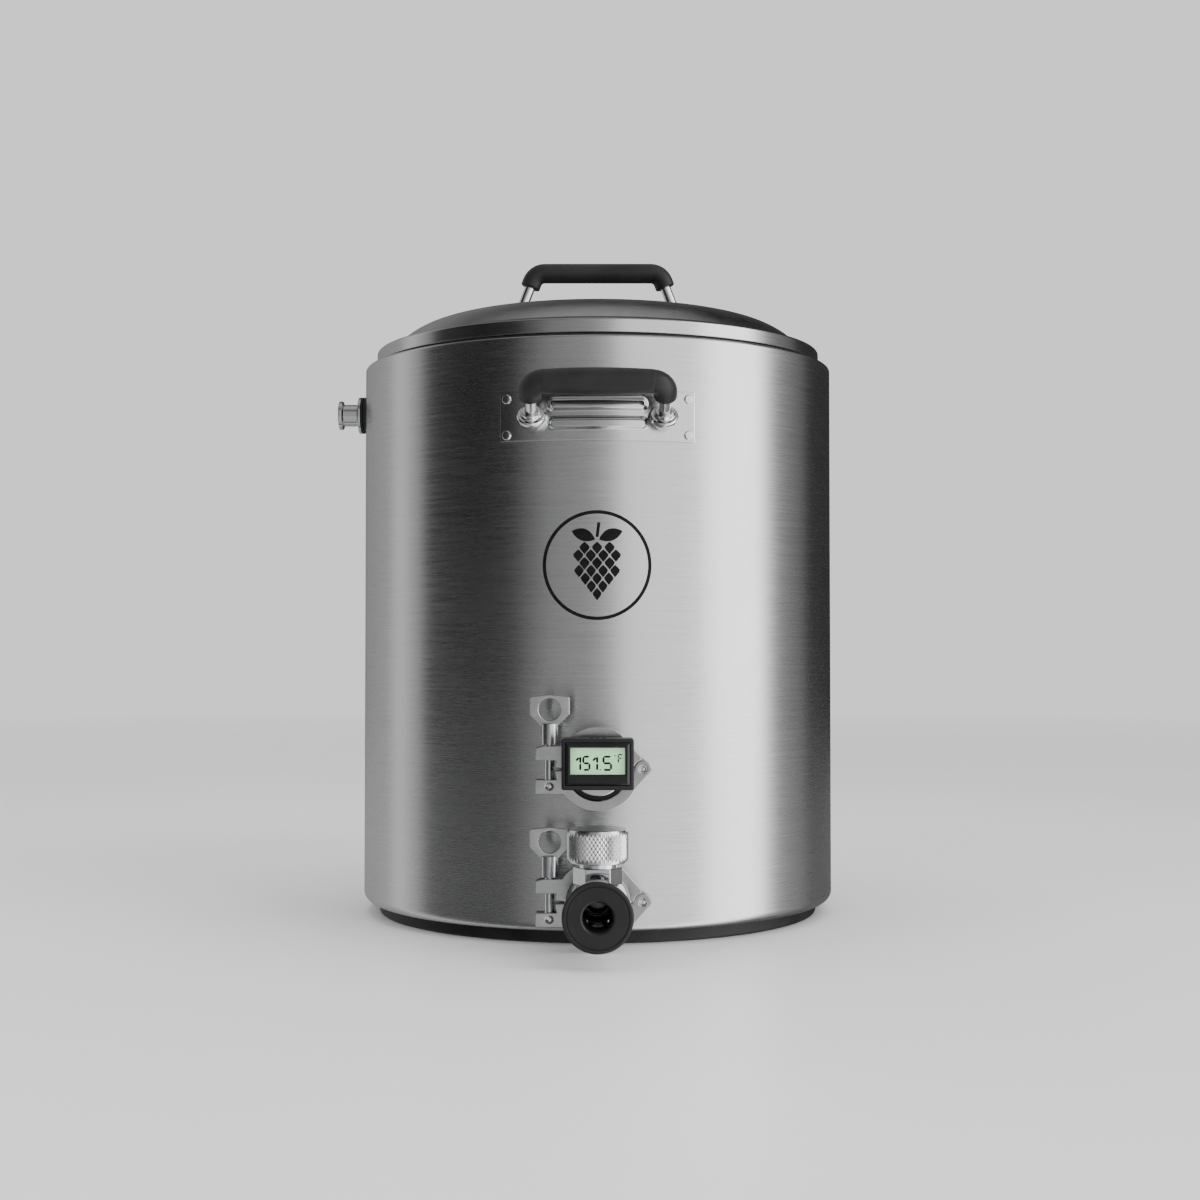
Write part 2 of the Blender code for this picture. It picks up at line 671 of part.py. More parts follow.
def make_valve(front):
    port = station("drain_frame", (0, DRAIN_Z, 0), (0, 0, 0))
    port.parent = front
    ferrule("drain_ferrule", BORE_R, DRAIN_TUBE_R, 176.5 * MM, port)
    flange_gasket("drain_gasket", 11.4 * MM, port)
    inlet = CLAMP_MID + JOINT_HALF
    outlet = OUTLET_FACE - 4.0 * MM - GAP
    edge = FLANGE_EDGE
    slope = 1.6 * MM
    pipe_r = 14.0 * MM
    hub_r = 21.0 * MM
    outline = [(0, inlet), (FLANGE_R, inlet), (FLANGE_R, inlet + edge), (hub_r, inlet + edge + slope),
               (pipe_r, inlet + edge + 2 * slope), (pipe_r, outlet - edge - 2 * slope),
               (hub_r, outlet - edge - slope), (FLANGE_R, outlet - edge), (FLANGE_R, outlet), (0, outlet)]
    body = turned("valve_body", outline, polished_steel(), MEDIUM, parent=port)
    axis = station("knob_axis", (0, -KNOB_AXIS, 0), (0, 0, 0))
    chamber_r = PLUNGER_R + 0.4 * MM
    chamber_low = DRAIN_Z - BORE_R - 1.0 * MM
    neck_r = 15.5 * MM
    neck_top = 56.0 * MM
    join(body, rod("valve_barrel", neck_r, 21 * MM, neck_top, None, 22, parent=axis))
    bore = rod("valve_bore", BORE_R, inlet - 5 * MM, outlet + 5 * MM, None, MEDIUM, parent=port)
    cut(body, bore)
    cut(body, rod("valve_chamber", chamber_r, chamber_low, neck_top + 5 * MM, None, 18, parent=axis))
    make_bonnet(axis, neck_top + GAP, chamber_r)
    make_knob(axis)
    make_outlet_seal(port)


def make_bonnet(axis, low, bore_r):
    """Hexagonal collar and the neck that the knob covers."""
    collar_top = 69.0 * MM
    neck_r = 14.2 * MM
    ceiling = 79.5 * MM
    bonnet = prism("valve_bonnet", arc((0, 0), 18.0 * MM, 0, 300, 5), low, collar_top, polished_steel(),
                   parent=axis)
    join(bonnet, rod("bonnet_neck", neck_r, collar_top - 1 * MM, BONNET_CAP, None, MEDIUM, parent=axis))
    cut(bonnet, rod("bonnet_bore", bore_r, low - 2 * MM, ceiling, None, MEDIUM, parent=axis))
    cut(bonnet, rod("stem_hole", STEM_R + GAP, ceiling - 2 * MM, BONNET_CAP + 2 * MM, parent=axis))


def make_knob(axis):
    """Knob that turns the stem, and the plunger that the stem's thread raises and lowers."""
    edge = 1 * MM
    cavity_r = 14.8 * MM
    cavity_top = BONNET_CAP + 0.6 * MM
    socket_top = 92.5 * MM
    outline = [(cavity_r, KNOB_BOTTOM), (KNOB_R, KNOB_BOTTOM), (KNOB_R, KNOB_TOP - edge),
               (KNOB_R - edge, KNOB_TOP), (0, KNOB_TOP), (0, socket_top),
               (STEM_R + GAP, socket_top), (STEM_R + GAP, cavity_top), (cavity_r, cavity_top)]
    turned("valve_knob", outline, polished_steel(), 24, parent=axis)
    stem_low = 52.5 * MM
    rod("valve_stem", STEM_R, stem_low, socket_top - GAP, polished_steel(), 12, parent=axis)
    plunger_low = DRAIN_Z + BORE_R + 0.4 * MM
    plunger_top = 79.0 * MM
    bore_low = stem_low - GAP
    turned("valve_plunger", [(0, plunger_low), (PLUNGER_R, plunger_low), (PLUNGER_R, plunger_top),
                             (STEM_R + GAP, plunger_top), (STEM_R + GAP, bore_low), (0, bore_low)],
           black_rubber(), MEDIUM, parent=axis)


def make_outlet_seal(port):
    """Black seal on the outlet flange."""
    back = OUTLET_FACE - 4.0 * MM
    rim = 25.4 * MM
    edge = 1 * MM
    outline = [(BORE_R, back), (rim, back), (rim, OUTLET_FACE - edge), (rim - edge, OUTLET_FACE),
               (BORE_R, OUTLET_FACE)]
    turned("outlet_seal", outline, black_rubber(), 24, parent=port)


# ---------------------------------------------------------------- side port

def make_side_port():
    """Bulkhead fitting through both walls, facing -X, in a frame whose Z points out."""
    frame = station("side_port_frame", (0, 0, SIDE_Z), (0, -math.pi / 2, 0))
    pipe_r = SIDE_TUBE_R
    bore = 7.9 * MM
    wide = 16.0 * MM
    seal_t = 4.4 * MM
    seal = tube("side_port_gasket", pipe_r + GAP, wide, SHELL_R - 4 * MM, SHELL_R + GAP + seal_t,
                black_rubber(), parent=frame)
    wall = turned("side_port_wall", [(0, 380 * MM), (SHELL_R + GAP, 380 * MM), (SHELL_R + GAP, 480 * MM),
                                     (0, 480 * MM)], None, 96)
    cut(seal, wall)
    collar = SHELL_R + seal_t + 2 * GAP
    end = SHELL_R + 25.0 * MM
    collar_t = 2.6 * MM
    flange_r = 12.6 * MM
    inner_end = 168.0 * MM
    outline = [(bore, inner_end), (pipe_r, inner_end), (pipe_r, collar), (wide, collar),
               (wide, collar + collar_t), (pipe_r, collar + collar_t), (pipe_r, end - 4.5 * MM),
               (flange_r, end - 3.2 * MM), (flange_r, end), (bore, end)]
    turned("side_port_fitting", outline, polished_steel(), MEDIUM, parent=frame)
    nut = prism("side_port_nut", arc((0, 0), 15.5 * MM, 0, 300, 5), 174.5 * MM, 182.6 * MM,
                brushed_steel(), parent=frame)
    cut(nut, rod("side_nut_bore", pipe_r + GAP, 170 * MM, 190 * MM, None, MEDIUM, parent=frame))
    return frame


# ---------------------------------------------------------------- lid

def dome_height(radius):
    """Height of the lid's top at a radius: nearly flat, then rolling over to its rim."""
    rim = SKIRT_TOP + 3.5 * MM
    return rim + (LID_TOP - rim) * (1 - (radius / DOME_R) ** DOME_POWER)


def dome_path():
    """Outer surface of the lid's top, from its middle to its foot."""
    radii = [0.0, 115 * MM, 145 * MM, 162 * MM, 172 * MM, DOME_R]
    return [(r, dome_height(r)) for r in radii]


def make_lid():
    edge = 1.5 * MM
    path = dome_path()
    path += [(SKIRT_R - 3 * edge, SKIRT_TOP - edge), (SKIRT_R - edge, SKIRT_TOP),
             (SKIRT_R, SKIRT_TOP - edge), (SKIRT_R, LID_SEAT), (LID_LIP_R, LID_SEAT), (LID_LIP_R, LID_LIP_Z)]
    turned("lid", sheet(path, -LID_SHEET), brushed_steel())
    tube("lid_gasket", LID_LIP_R + 4 * MM, SKIRT_R - 0.5 * MM, SHELL_TOP + GAP, LID_SEAT - GAP,
         black_rubber(), LARGE)
    make_lid_handle()


def make_lid_handle():
    top = 557.8 * MM
    splay = 0.385
    corner = 55.0 * MM
    bend = 12 * MM
    foot_z = LID_TOP - 3 * MM
    foot_x = corner + (top - foot_z) * splay
    corners = [(-foot_x, 0, foot_z), (-corner, 0, top), (corner, 0, top), (foot_x, 0, foot_z)]
    path = rounded_path(corners, bend, 3)
    handle = swept("lid_handle_rod", path, [ROD_R] * len(path), (0, 1, 0), polished_steel())
    below = [(0, LID_TOP - 30 * MM)] + [(r, z + GAP) for r, z in dome_path()[::-1]]
    below[1:1] = [(DOME_R, LID_TOP - 30 * MM)]
    cut(handle, turned("lid_clearance", below))
    sleeve_z = 545.0 * MM
    sleeve_x = corner + (top - sleeve_z) * splay
    corners = [(-sleeve_x, 0, sleeve_z), (-corner, 0, top), (corner, 0, top), (sleeve_x, 0, sleeve_z)]
    path = rounded_path(corners, bend, 3)
    swept("lid_grip", path, [8.6 * MM] * len(path), (0, 1, 0), black_rubber(), sides=12, bore=ROD_R + GAP)


# ---------------------------------------------------------------- side handles

def handle_point(x, along):
    """Point of the handle's tilted plane, at a distance along its legs from the plate."""
    out = SHELL_R + GAP + PLATE_T + along * math.cos(HANDLE_TILT)
    return Vector((x, -out, HANDLE_Z + along * math.sin(HANDLE_TILT)))


def make_plate(label, frame):
    """Curved plate with two raised pads and a cup for each leg of the rod."""
    pad_half = math.asin(37.0 * MM / SHELL_R)
    soft = 1.5 * MM / SHELL_R
    edge_angle = PLATE_HALF_ANGLE
    right = [pad_half * 0.2, pad_half * 0.6, pad_half, pad_half + soft]
    right += [pad_half + (edge_angle - pad_half) * 0.5, edge_angle]
    angles = [-angle for angle in right[::-1]] + right
    bands = [(393.5 * MM, 404.6 * MM), (408.0 * MM, 419.6 * MM)]
    heights = [PLATE_BOTTOM]
    for low, high in bands:
        heights += [low, low + 1.5 * MM, high - 1.5 * MM, high]
    heights.append(PLATE_TOP)

    def raised(angle, height):
        inside = any(low < height < high for low, high in bands)
        return 3.0 * MM if inside and abs(angle) < pad_half + TINY else 0.0

    mesh = bmesh.new()
    grids = []
    for radius in (PLATE_BACK, PLATE_BACK + PLATE_T):
        grid = []
        for height in heights:
            row = []
            for angle in angles:
                out = radius + (raised(angle, height) if radius > PLATE_BACK else 0.0)
                row.append(mesh.verts.new((out * math.sin(angle), -out * math.cos(angle), height)))
            grid.append(row)
        grids.append(grid)
    rows, columns = len(heights), len(angles)
    for grid in grids:
        for i in range(rows - 1):
            for j in range(columns - 1):
                mesh.faces.new((grid[i][j], grid[i][j + 1], grid[i + 1][j + 1], grid[i + 1][j]))
    back, face = grids
    edge = [(0, j) for j in range(columns)] + [(i, columns - 1) for i in range(1, rows)]
    edge += [(rows - 1, j) for j in range(columns - 2, -1, -1)] + [(i, 0) for i in range(rows - 2, 0, -1)]
    for (i, j), (k, m) in zip(edge, edge[1:] + edge[:1]):
        mesh.faces.new((back[i][j], back[k][m], face[k][m], face[i][j]))
    plate = add_object(label + "_plate", mesh, brushed_steel(), parent=frame)
    for side, x in (("left", -HANDLE_HALF), ("right", HANDLE_HALF)):
        add_cup(plate, label + "_" + side, x, frame)
    return plate


def add_cup(plate, label, x, frame):
    """Cup that holds one leg, square to the leg and trimmed to the plate's curve."""
    foot = -9 * MM
    outline = [(0, foot), (11 * MM, foot), (11 * MM, 2.2 * MM), (8.5 * MM, 6.5 * MM),
               (ROD_R + GAP, 6.5 * MM), (ROD_R + GAP, 2.5 * MM), (0, 2.5 * MM)]
    cup = turned(label + "_cup", outline, None, 12, parent=frame, location=handle_point(x, 0))
    cup.rotation_euler = (math.pi / 2 - HANDLE_TILT, 0, 0)
    inside = PLATE_BACK + PLATE_T / 2
    wall = turned(label + "_wall", [(0, 370 * MM), (inside, 370 * MM), (inside, 440 * MM), (0, 440 * MM)],
                  None, 96, parent=frame)
    cut(cup, wall)
    join(plate, cup)


def handle_path(start, bend, steps):
    """Path up one leg from a distance along it, over the grip and down the other leg."""
    reach = HANDLE_REACH
    corners = [handle_point(-HANDLE_HALF, start), handle_point(-HANDLE_HALF, reach),
               handle_point(HANDLE_HALF, reach), handle_point(HANDLE_HALF, start)]
    return rounded_path(corners, bend, steps)


def make_handle(label, turn, shell_cutters):
    """Riveted side handle on the front, turned about the kettle's axis to where it belongs."""
    frame = station(label + "_frame", (0, 0, 0), (0, 0, turn))
    plate = make_plate(label, frame)
    across = handle_point(0, 1.0).cross(Vector((1, 0, 0))) - handle_point(0, 0.0).cross(Vector((1, 0, 0)))
    bend = 11 * MM
    path = handle_path(2.8 * MM, bend, 3)
    swept(label + "_rod", path, [ROD_R] * len(path), across, polished_steel(), parent=frame)
    path = handle_path(SIDE_GRIP_START, bend, 3)
    middle = [path[4].lerp(path[5], t) for t in (0.25, 0.5, 0.75)]
    path[5:5] = middle
    swell = 42.9 * MM
    radii = [9 * MM + 1.5 * MM * max(0.0, 1 - (point.x / swell) ** 2) for point in path]
    swept(label + "_grip", path, radii, across, black_rubber(), sides=12, bore=ROD_R + GAP, parent=frame)
    angle = math.asin(RIVET_SPREAD / SHELL_R)
    spots = [(side * angle, height) for height in RIVET_LEVELS for side in (-1, 1)]
    for number, (turned_by, height) in enumerate(spots):
        make_rivet(label, number + 1, turned_by, height, frame, plate, shell_cutters)


def make_rivet(label, number, angle, height, frame, plate, shell_cutters):
    """Low-headed rivet through the plate and the shell, and the holes it passes through."""
    name = "{}_rivet_{}".format(label, number)
    spot = station(name + "_axis", (0, 0, height), (math.pi / 2, 0, angle))
    spot.parent = frame
    shank = 1.8 * MM
    head = PLATE_BACK + PLATE_T + GAP
    outline = [(0, SHELL_R - SHEET + 0.2 * MM), (shank, SHELL_R - SHEET + 0.2 * MM), (shank, head),
               (3.75 * MM, head), (2.6 * MM, head + 1.2 * MM), (0, head + 1.2 * MM)]
    turned(name, outline, polished_steel(), 8, parent=spot)
    hole = rod(name + "_hole", shank + GAP, SHELL_R - 8 * MM, head + 3 * MM, None, 6, parent=spot)
    cut(plate, hole)
    shell_cutters.append(hole)


# ---------------------------------------------------------------- assembly

def clear_scene():
    for old in list(bpy.data.objects):
        bpy.data.objects.remove(old, do_unlink=True)


def build():
    clear_scene()
    front = station("front_frame", (0, 0, 0), (math.pi / 2, 0, 0))
    side = make_side_port()
    holes = {
        "thermo_hole": (front, (0, THERMO_Z, 0), THERMO_TUBE_R + GAP),
        "drain_hole": (front, (0, DRAIN_Z, 0), DRAIN_TUBE_R + GAP),
        "side_hole": (side, (0, 0, 0), SIDE_TUBE_R + GAP),
    }
    port_cutters = []
    for name, (frame, place, radius) in holes.items():
        hole = rod(name, radius, 173 * MM, 215 * MM, None, MEDIUM, parent=frame, location=place)
        port_cutters.append(hole)
    shell_cutters = list(port_cutters)
    make_handle("front_handle", 0.0, shell_cutters)
    make_handle("rear_handle", math.pi, shell_cutters)
    make_base_pad()
    make_outer_shell(shell_cutters)
    make_insulation(port_cutters)
    make_inner_pot(port_cutters)
    make_false_bottom()
    make_thermometer(front)
    make_clamp("thermo_clamp", THERMO_Z, front)
    make_pickup_tube()
    make_valve(front)
    make_clamp("drain_clamp", DRAIN_Z, front)
    make_lid()


build()
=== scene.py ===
"""Looks of the insulated brew kettle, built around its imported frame.

Outlines and frames are in millimetres. piece() turns them into metres, in the frame of the CAD.
"""
import json
from math import acos, asin, atan2, cos, degrees, exp, hypot, pi, radians, sin, sqrt, tan

import bmesh
import bpy
from mathutils import Matrix, Vector

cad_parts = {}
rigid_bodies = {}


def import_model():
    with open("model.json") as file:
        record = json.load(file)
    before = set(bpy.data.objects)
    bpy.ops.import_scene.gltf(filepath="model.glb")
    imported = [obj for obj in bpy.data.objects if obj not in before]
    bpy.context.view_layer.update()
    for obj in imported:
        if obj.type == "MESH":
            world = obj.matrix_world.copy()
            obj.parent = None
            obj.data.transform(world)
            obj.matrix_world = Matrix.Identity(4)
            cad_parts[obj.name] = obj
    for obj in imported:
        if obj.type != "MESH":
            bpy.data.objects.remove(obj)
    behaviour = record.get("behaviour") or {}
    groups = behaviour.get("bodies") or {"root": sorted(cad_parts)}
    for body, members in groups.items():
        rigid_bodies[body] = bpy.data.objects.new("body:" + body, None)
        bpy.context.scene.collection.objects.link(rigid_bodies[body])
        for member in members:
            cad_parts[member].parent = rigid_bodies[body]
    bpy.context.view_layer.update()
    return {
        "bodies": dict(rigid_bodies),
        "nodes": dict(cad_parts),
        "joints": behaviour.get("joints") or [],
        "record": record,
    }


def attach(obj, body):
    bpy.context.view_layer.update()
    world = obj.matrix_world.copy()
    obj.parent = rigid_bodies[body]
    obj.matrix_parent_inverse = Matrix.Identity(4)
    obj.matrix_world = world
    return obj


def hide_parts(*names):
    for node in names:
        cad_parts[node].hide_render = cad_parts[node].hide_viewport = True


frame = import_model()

MM = 0.001
ROW = Matrix.Identity(4)

# Vessel and lid
SHELL_R = 203.0
SHELL_BOTTOM = 10.5
SHELL_TOP = 467.7
POT_R = 184.0
SHEET = 1.2
LID_TOP = 511.8
DOME_R = 178.0
DOME_RIM = 486.3
DOME_POWER = 7.4
SKIRT_R = 193.2

# Fittings
THERMO_Z = 136.9
DRAIN_Z = 38.2
SIDE_Z = 431.6
CLAMP_MID = 227.0
FLANGE_R = 25.25
THERMO_TUBE_R = 19.05
DRAIN_TUBE_R = 12.7
FLANGE_GAP = 1.0              # from a clamp's middle to each flange's face
FLANGE_RIM = 2.9              # straight rim of a flange
FLANGE_SLOPE = tan(radians(20))
KNOB_AXIS = 266.0
OUTLET_FACE = 308.0
BORE_R = 11.05
BOLT_PIVOT = (-36.0, -12.8)
HINGE = (33.7, 0.0)
KNUCKLE_R = 6.4
SPLIT = 2.4                   # degrees between each half of a clamp and the level line that parts them
RING_R = 31.6
RING_INNER_R = 23.6
LUG_END = -46.4

# Side handles
PLATE_BACK = SHELL_R + 0.3
PLATE_T = 1.5
HANDLE_Z = 403.5
HANDLE_TILT = radians(38.5)
HANDLE_HALF = 51.0
HANDLE_REACH = 37.3
ROD_R = 4.5

ROUND = 160                   # facets around a small fitting
VESSEL_ROUND = 288            # facets around the vessel
SIDES = (("left", -1), ("right", 1))


# ---------------------------------------------------------------- camera, light and floor

def link(name, data):
    made = bpy.data.objects.new(name, data)
    bpy.context.scene.collection.objects.link(made)
    return made


def mesh_data(name, mesh):
    """Mesh data made from an editable mesh, which is freed."""
    data = bpy.data.meshes.new(name)
    mesh.to_mesh(data)
    mesh.free()
    return data


def make_camera():
    away, height, tilt = 1.5182, 0.2311, 0.02477
    data = bpy.data.cameras.new("camera")
    data.lens = 51.68
    data.shift_x = 0.0019
    data.clip_start = 0.02
    data.clip_end = 60.0
    camera = link("camera", data)
    camera.location = (0.0, -away, height)
    camera.rotation_euler = (pi / 2 + tilt, 0.0, 0.0)
    bpy.context.scene.camera = camera


def add_light(name, place, aim, size, power, colour=(1.0, 1.0, 1.0)):
    data = bpy.data.lights.new(name, "AREA")
    data.shape = "RECTANGLE"
    data.size, data.size_y = size
    data.energy = power
    data.color = colour
    light = link(name, data)
    light.location = place
    light.visible_glossy = False
    light.rotation_mode = "QUATERNION"
    light.rotation_quaternion = (Vector(aim) - Vector(place)).to_track_quat("-Z", "Y")


class Nodes:
    """Short calls that build one node tree."""

    def __init__(self, tree):
        self.tree = tree

    def node(self, kind, values=None, **settings):
        made = self.tree.nodes.new("ShaderNode" + kind)
        for key, value in settings.items():
            setattr(made, key, value)
        self.set(made.inputs, values or {})
        return made

    def set(self, inputs, values):
        for key, value in values.items():
            self.feed(inputs[key], value)

    def feed(self, socket, value):
        if isinstance(value, bpy.types.NodeSocket):
            self.tree.links.new(value, socket)
        else:
            socket.default_value = value

    def math(self, operation, *values):
        return self.node("Math", dict(enumerate(values)), operation=operation).outputs[0]

    def vector(self, operation, *values):
        return self.node("VectorMath", dict(enumerate(values)), operation=operation).outputs[0]

    def scaled(self, vector, factor):
        return self.node("VectorMath", {0: vector, "Scale": factor}, operation="SCALE").outputs[0]

    def span(self, value, low, high, to_low, to_high):
        """Value carried from one range to another, held at the ends."""
        return self.node("MapRange", {0: value, 1: low, 2: high, 3: to_low, 4: to_high}).outputs[0]

    def ramp(self, value, stops, mode="EASE"):
        made = self.node("ValToRGB", {0: value})
        made.color_ramp.interpolation = mode
        points = made.color_ramp.elements
        while len(points) < len(stops):
            points.new(0.5)
        for point, (at, colour) in zip(points, stops):
            point.position = at
        for point, (at, colour) in zip(points, stops):
            level = (colour,) * 3 if isinstance(colour, (int, float)) else colour
            point.color = (*level, 1.0)
        return made.outputs[0]

    def noise(self, vector, scale=1.0, detail=3.0, rough=0.55):
        values = {"Vector": vector, "Scale": scale, "Detail": detail, "Roughness": rough}
        return self.node("TexNoise", values).outputs[0]

    def object_place(self):
        return self.node("TexCoord").outputs["Object"]

    def split(self, vector):
        return self.node("SeparateXYZ", {0: vector}).outputs

    def length(self, vector):
        return self.node("VectorMath", {0: vector}, operation="LENGTH").outputs["Value"]

    def reach(self, x, y):
        """Distance from the axis that x and y are measured from."""
        return self.math("SQRT", self.math("ADD", self.math("MULTIPLY", x, x), self.math("MULTIPLY", y, y)))

    def bump(self, height, strength, distance, under=None):
        values = {"Height": height, "Strength": strength, "Distance": distance}
        if under:
            values["Normal"] = under
        return self.node("Bump", values).outputs[0]


def make_world():
    """Soft studio: lit panels for what shines, even light for what doesn't, a pale view behind."""
    world = bpy.data.worlds.new("studio")
    bpy.context.scene.world = world
    world.use_nodes = True
    tree = world.node_tree
    tree.nodes.clear()
    n = Nodes(tree)
    x, y, z = n.split(n.node("TexCoord").outputs["Generated"])
    turn = n.math("ARCTAN2", x, n.math("MULTIPLY", y, -1.0))
    turn = n.math("ADD", n.math("DIVIDE", turn, 2 * pi), 0.5)
    # degrees from the front, positive to the right, and how bright the room is there
    panels = ((-180, 0.10), (-166, 0.25), (-150, 0.36), (-124, 0.48), (-110, 0.95), (-98, 0.50),
              (-88, 0.05), (-58, 0.028), (-42, 0.045), (-32, 0.18), (-22, 0.34), (-4, 0.40),
              (4, 0.62), (16, 1.70), (46, 1.80), (60, 3.6), (82, 4.0), (90, 1.10),
              (96, 0.36), (112, 0.22), (126, 0.05), (160, 0.04), (180, 0.10))
    strongest = max(level for angle, level in panels)
    around = n.ramp(turn, [(angle / 360 + 0.5, level / strongest) for angle, level in panels])
    height = n.span(z, 0.50, 0.90, 1.0, 0.0)
    above = n.span(z, 0.76, 1.0, 0.0, 0.50)
    room = n.math("ADD", n.math("MULTIPLY", n.math("MULTIPLY", around, strongest), height), above)
    shine = n.node("Background", {0: room, 1: 1.0})
    soft = n.node("Background", {0: (1.0, 1.0, 1.0, 1.0), 1: n.span(z, -0.2, 1.0, 0.55, 1.35)})
    seen = n.node("Background", {0: (0.83, 0.835, 0.84, 1.0), 1: 1.25})
    rays = n.node("LightPath").outputs
    lit = n.node("MixShader", {0: rays["Is Diffuse Ray"], 1: shine.outputs[0], 2: soft.outputs[0]})
    both = n.node("MixShader", {0: rays["Is Camera Ray"], 1: lit.outputs[0], 2: seen.outputs[0]})
    out = n.node("OutputWorld")
    tree.links.new(both.outputs[0], out.inputs[0])


def make_floor():
    """Pale floor that fades into the plain background a few metres out."""
    mesh = bmesh.new()
    bmesh.ops.create_circle(mesh, cap_ends=True, segments=96, radius=5.0)
    material = bpy.data.materials.new("floor")
    material.use_nodes = True
    n, inputs = shader_of(material)
    place = n.object_place()
    cloud = n.noise(place, 3.0)
    n.feed(inputs["Base Color"], n.ramp(cloud, [(0.3, 0.80), (0.7, 0.82)]))
    n.set(inputs, {"Roughness": 0.42, "Specular IOR Level": 0.35})
    solid = n.span(n.length(place), 1.3, 4.2, 1.0, 0.0)
    seen_shining = n.node("LightPath").outputs["Is Glossy Ray"]
    n.feed(inputs["Alpha"], n.math("MULTIPLY", solid, n.span(seen_shining, 0.0, 1.0, 1.0, 0.14)))
    data = mesh_data("floor", mesh)
    data.materials.append(material)
    link("floor", data)


# ---------------------------------------------------------------- materials

def shader_of(material):
    """Node calls for a material, and its shader's inputs."""
    tree = material.node_tree
    return Nodes(tree), tree.nodes["Principled BSDF"].inputs


def begin(name, slot):
    material = bpy.data.materials.new(name)
    material.use_nodes = True
    material["slot"] = slot
    return material, *shader_of(material)


def spun(n, axis, fine, around):
    """Coordinates for marks that run round an axis: quick across them, slow along them."""
    place = n.object_place()
    level = n.node("VectorMath", {0: place, 1: axis}, operation="DOT_PRODUCT").outputs["Value"]
    out = n.vector("SUBTRACT", place, n.scaled(axis, level))
    quick = n.math("MULTIPLY", n.math("ADD", n.length(out), level), fine)
    return n.vector("ADD", n.scaled(n.vector("NORMALIZE", out), around), n.scaled(axis, quick))


def lined(n, scale):
    """Coordinates for straight marks."""
    return n.node("Mapping", {"Vector": n.object_place(), "Scale": scale}, vector_type="POINT").outputs[0]


def shades(tone, *colours):
    return [[tone * v for v in colour] for colour in colours]


def brushed(name, tone, rough, around=7.0, axis=(0, 0, 1), straight=False, fine=1.0, anisotropy=0.72):
    """Brushed stainless steel, with its grain round an axis or straight along X."""
    material, n, inputs = begin(name, "brushed_steel")

    def grain(across, along):
        return lined(n, (along, across, across)) if straight else spun(n, axis, across, along)

    hair = n.noise(grain(2300 * fine, around * 2.2), detail=2.0)
    streak = n.noise(grain(1100 * fine, around), detail=4.0, rough=0.62)
    band = n.noise(grain(60 * fine, around * 0.3), detail=2.0)
    cloud = n.noise(n.object_place(), 7.0, 2.0)
    mark = n.math("ADD", n.math("MULTIPLY", streak, 0.84), n.math("MULTIPLY", band, 0.16))
    dull, plain, bright = shades(tone, (0.90, 0.905, 0.915), (0.985, 0.99, 0.995), (1.06, 1.06, 1.055))
    n.feed(inputs["Base Color"], n.ramp(mark, [(0.32, dull), (0.50, plain), (0.68, bright)], "LINEAR"))
    wear = n.math("ADD", n.math("MULTIPLY", mark, 0.7), n.math("MULTIPLY", cloud, 0.3))
    n.feed(inputs["Roughness"], n.span(wear, 0.35, 0.65, rough - 0.04, rough + 0.06))
    n.set(inputs, {"Metallic": 1.0, "Anisotropic": anisotropy, "Anisotropic Rotation": 0.25})
    if not straight:
        letter = "XYZ"[[abs(v) for v in axis].index(1)]
        n.feed(inputs["Tangent"], n.node("Tangent", direction_type="RADIAL", axis=letter).outputs[0])
    low = n.bump(streak, 0.16, 0.00003)
    n.feed(inputs["Normal"], n.bump(hair, 0.30, 0.00002, low))
    return material


def polished(name, tone=0.70, rough=0.13, marks=0.25, slot="polished_steel"):
    """Polished steel with faint hairlines and handling marks."""
    material, n, inputs = begin(name, slot)
    cloud = n.noise(n.object_place(), 55.0, 4.0, 0.6)
    hair = n.noise(lined(n, (350, 2600, 2600)), 1.0, 2.0)
    dull, bright = shades(tone, (0.93, 0.94, 0.96), (1.04, 1.04, 1.045))
    n.feed(inputs["Base Color"], n.ramp(cloud, [(0.3, dull), (0.7, bright)]))
    n.feed(inputs["Roughness"], n.span(cloud, 0.3, 0.75, rough - 0.03, rough + 0.07))
    inputs["Metallic"].default_value = 1.0
    n.feed(inputs["Normal"], n.bump(hair, marks, 0.00001))
    return material


def fed_by(socket):
    return socket.links[0].from_socket


def bore_with_painted_shade(material, radius, axis_level):
    """Painted shade inside a bore that runs along Y: dull, dark and not metallic."""
    n, inputs = shader_of(material)
    place = n.split(n.object_place())
    level = n.math("SUBTRACT", place["Z"], axis_level * MM)
    # inside: mask of the painted shade, full within the bore's radius
    inside = n.span(n.reach(place["X"], level), radius * MM, (radius + 0.3) * MM, 1.0, 0.0)
    n.feed(inputs["Metallic"], n.math("SUBTRACT", 1.0, inside))
    # near black painted shade in the bore, in place of the steel's colour
    colour = {0: inside, 6: fed_by(inputs["Base Color"]), 7: (0.022, 0.022, 0.022, 1.0)}
    n.feed(inputs["Base Color"], n.node("Mix", colour, data_type="RGBA").outputs[2])
    dull = {0: inside, 2: fed_by(inputs["Roughness"]), 3: 0.6}
    n.feed(inputs["Roughness"], n.node("Mix", dull).outputs[0])
    return material


def smooth_rise(material, low, high):
    """Shinier steel where a curved plate is drawn out from low to high, measured from the upright axis."""
    n, inputs = shader_of(material)
    place = n.split(n.object_place())
    raised = n.span(n.reach(place["X"], place["Y"]), low * MM, high * MM, 0.0, 1.0)
    mixed = {0: raised, 2: fed_by(inputs["Roughness"]), 3: 0.09}
    n.feed(inputs["Roughness"], n.node("Mix", mixed).outputs[0])
    n.feed(inputs["Anisotropic"], n.span(raised, 0.0, 1.0, 0.7, 0.0))
    return material


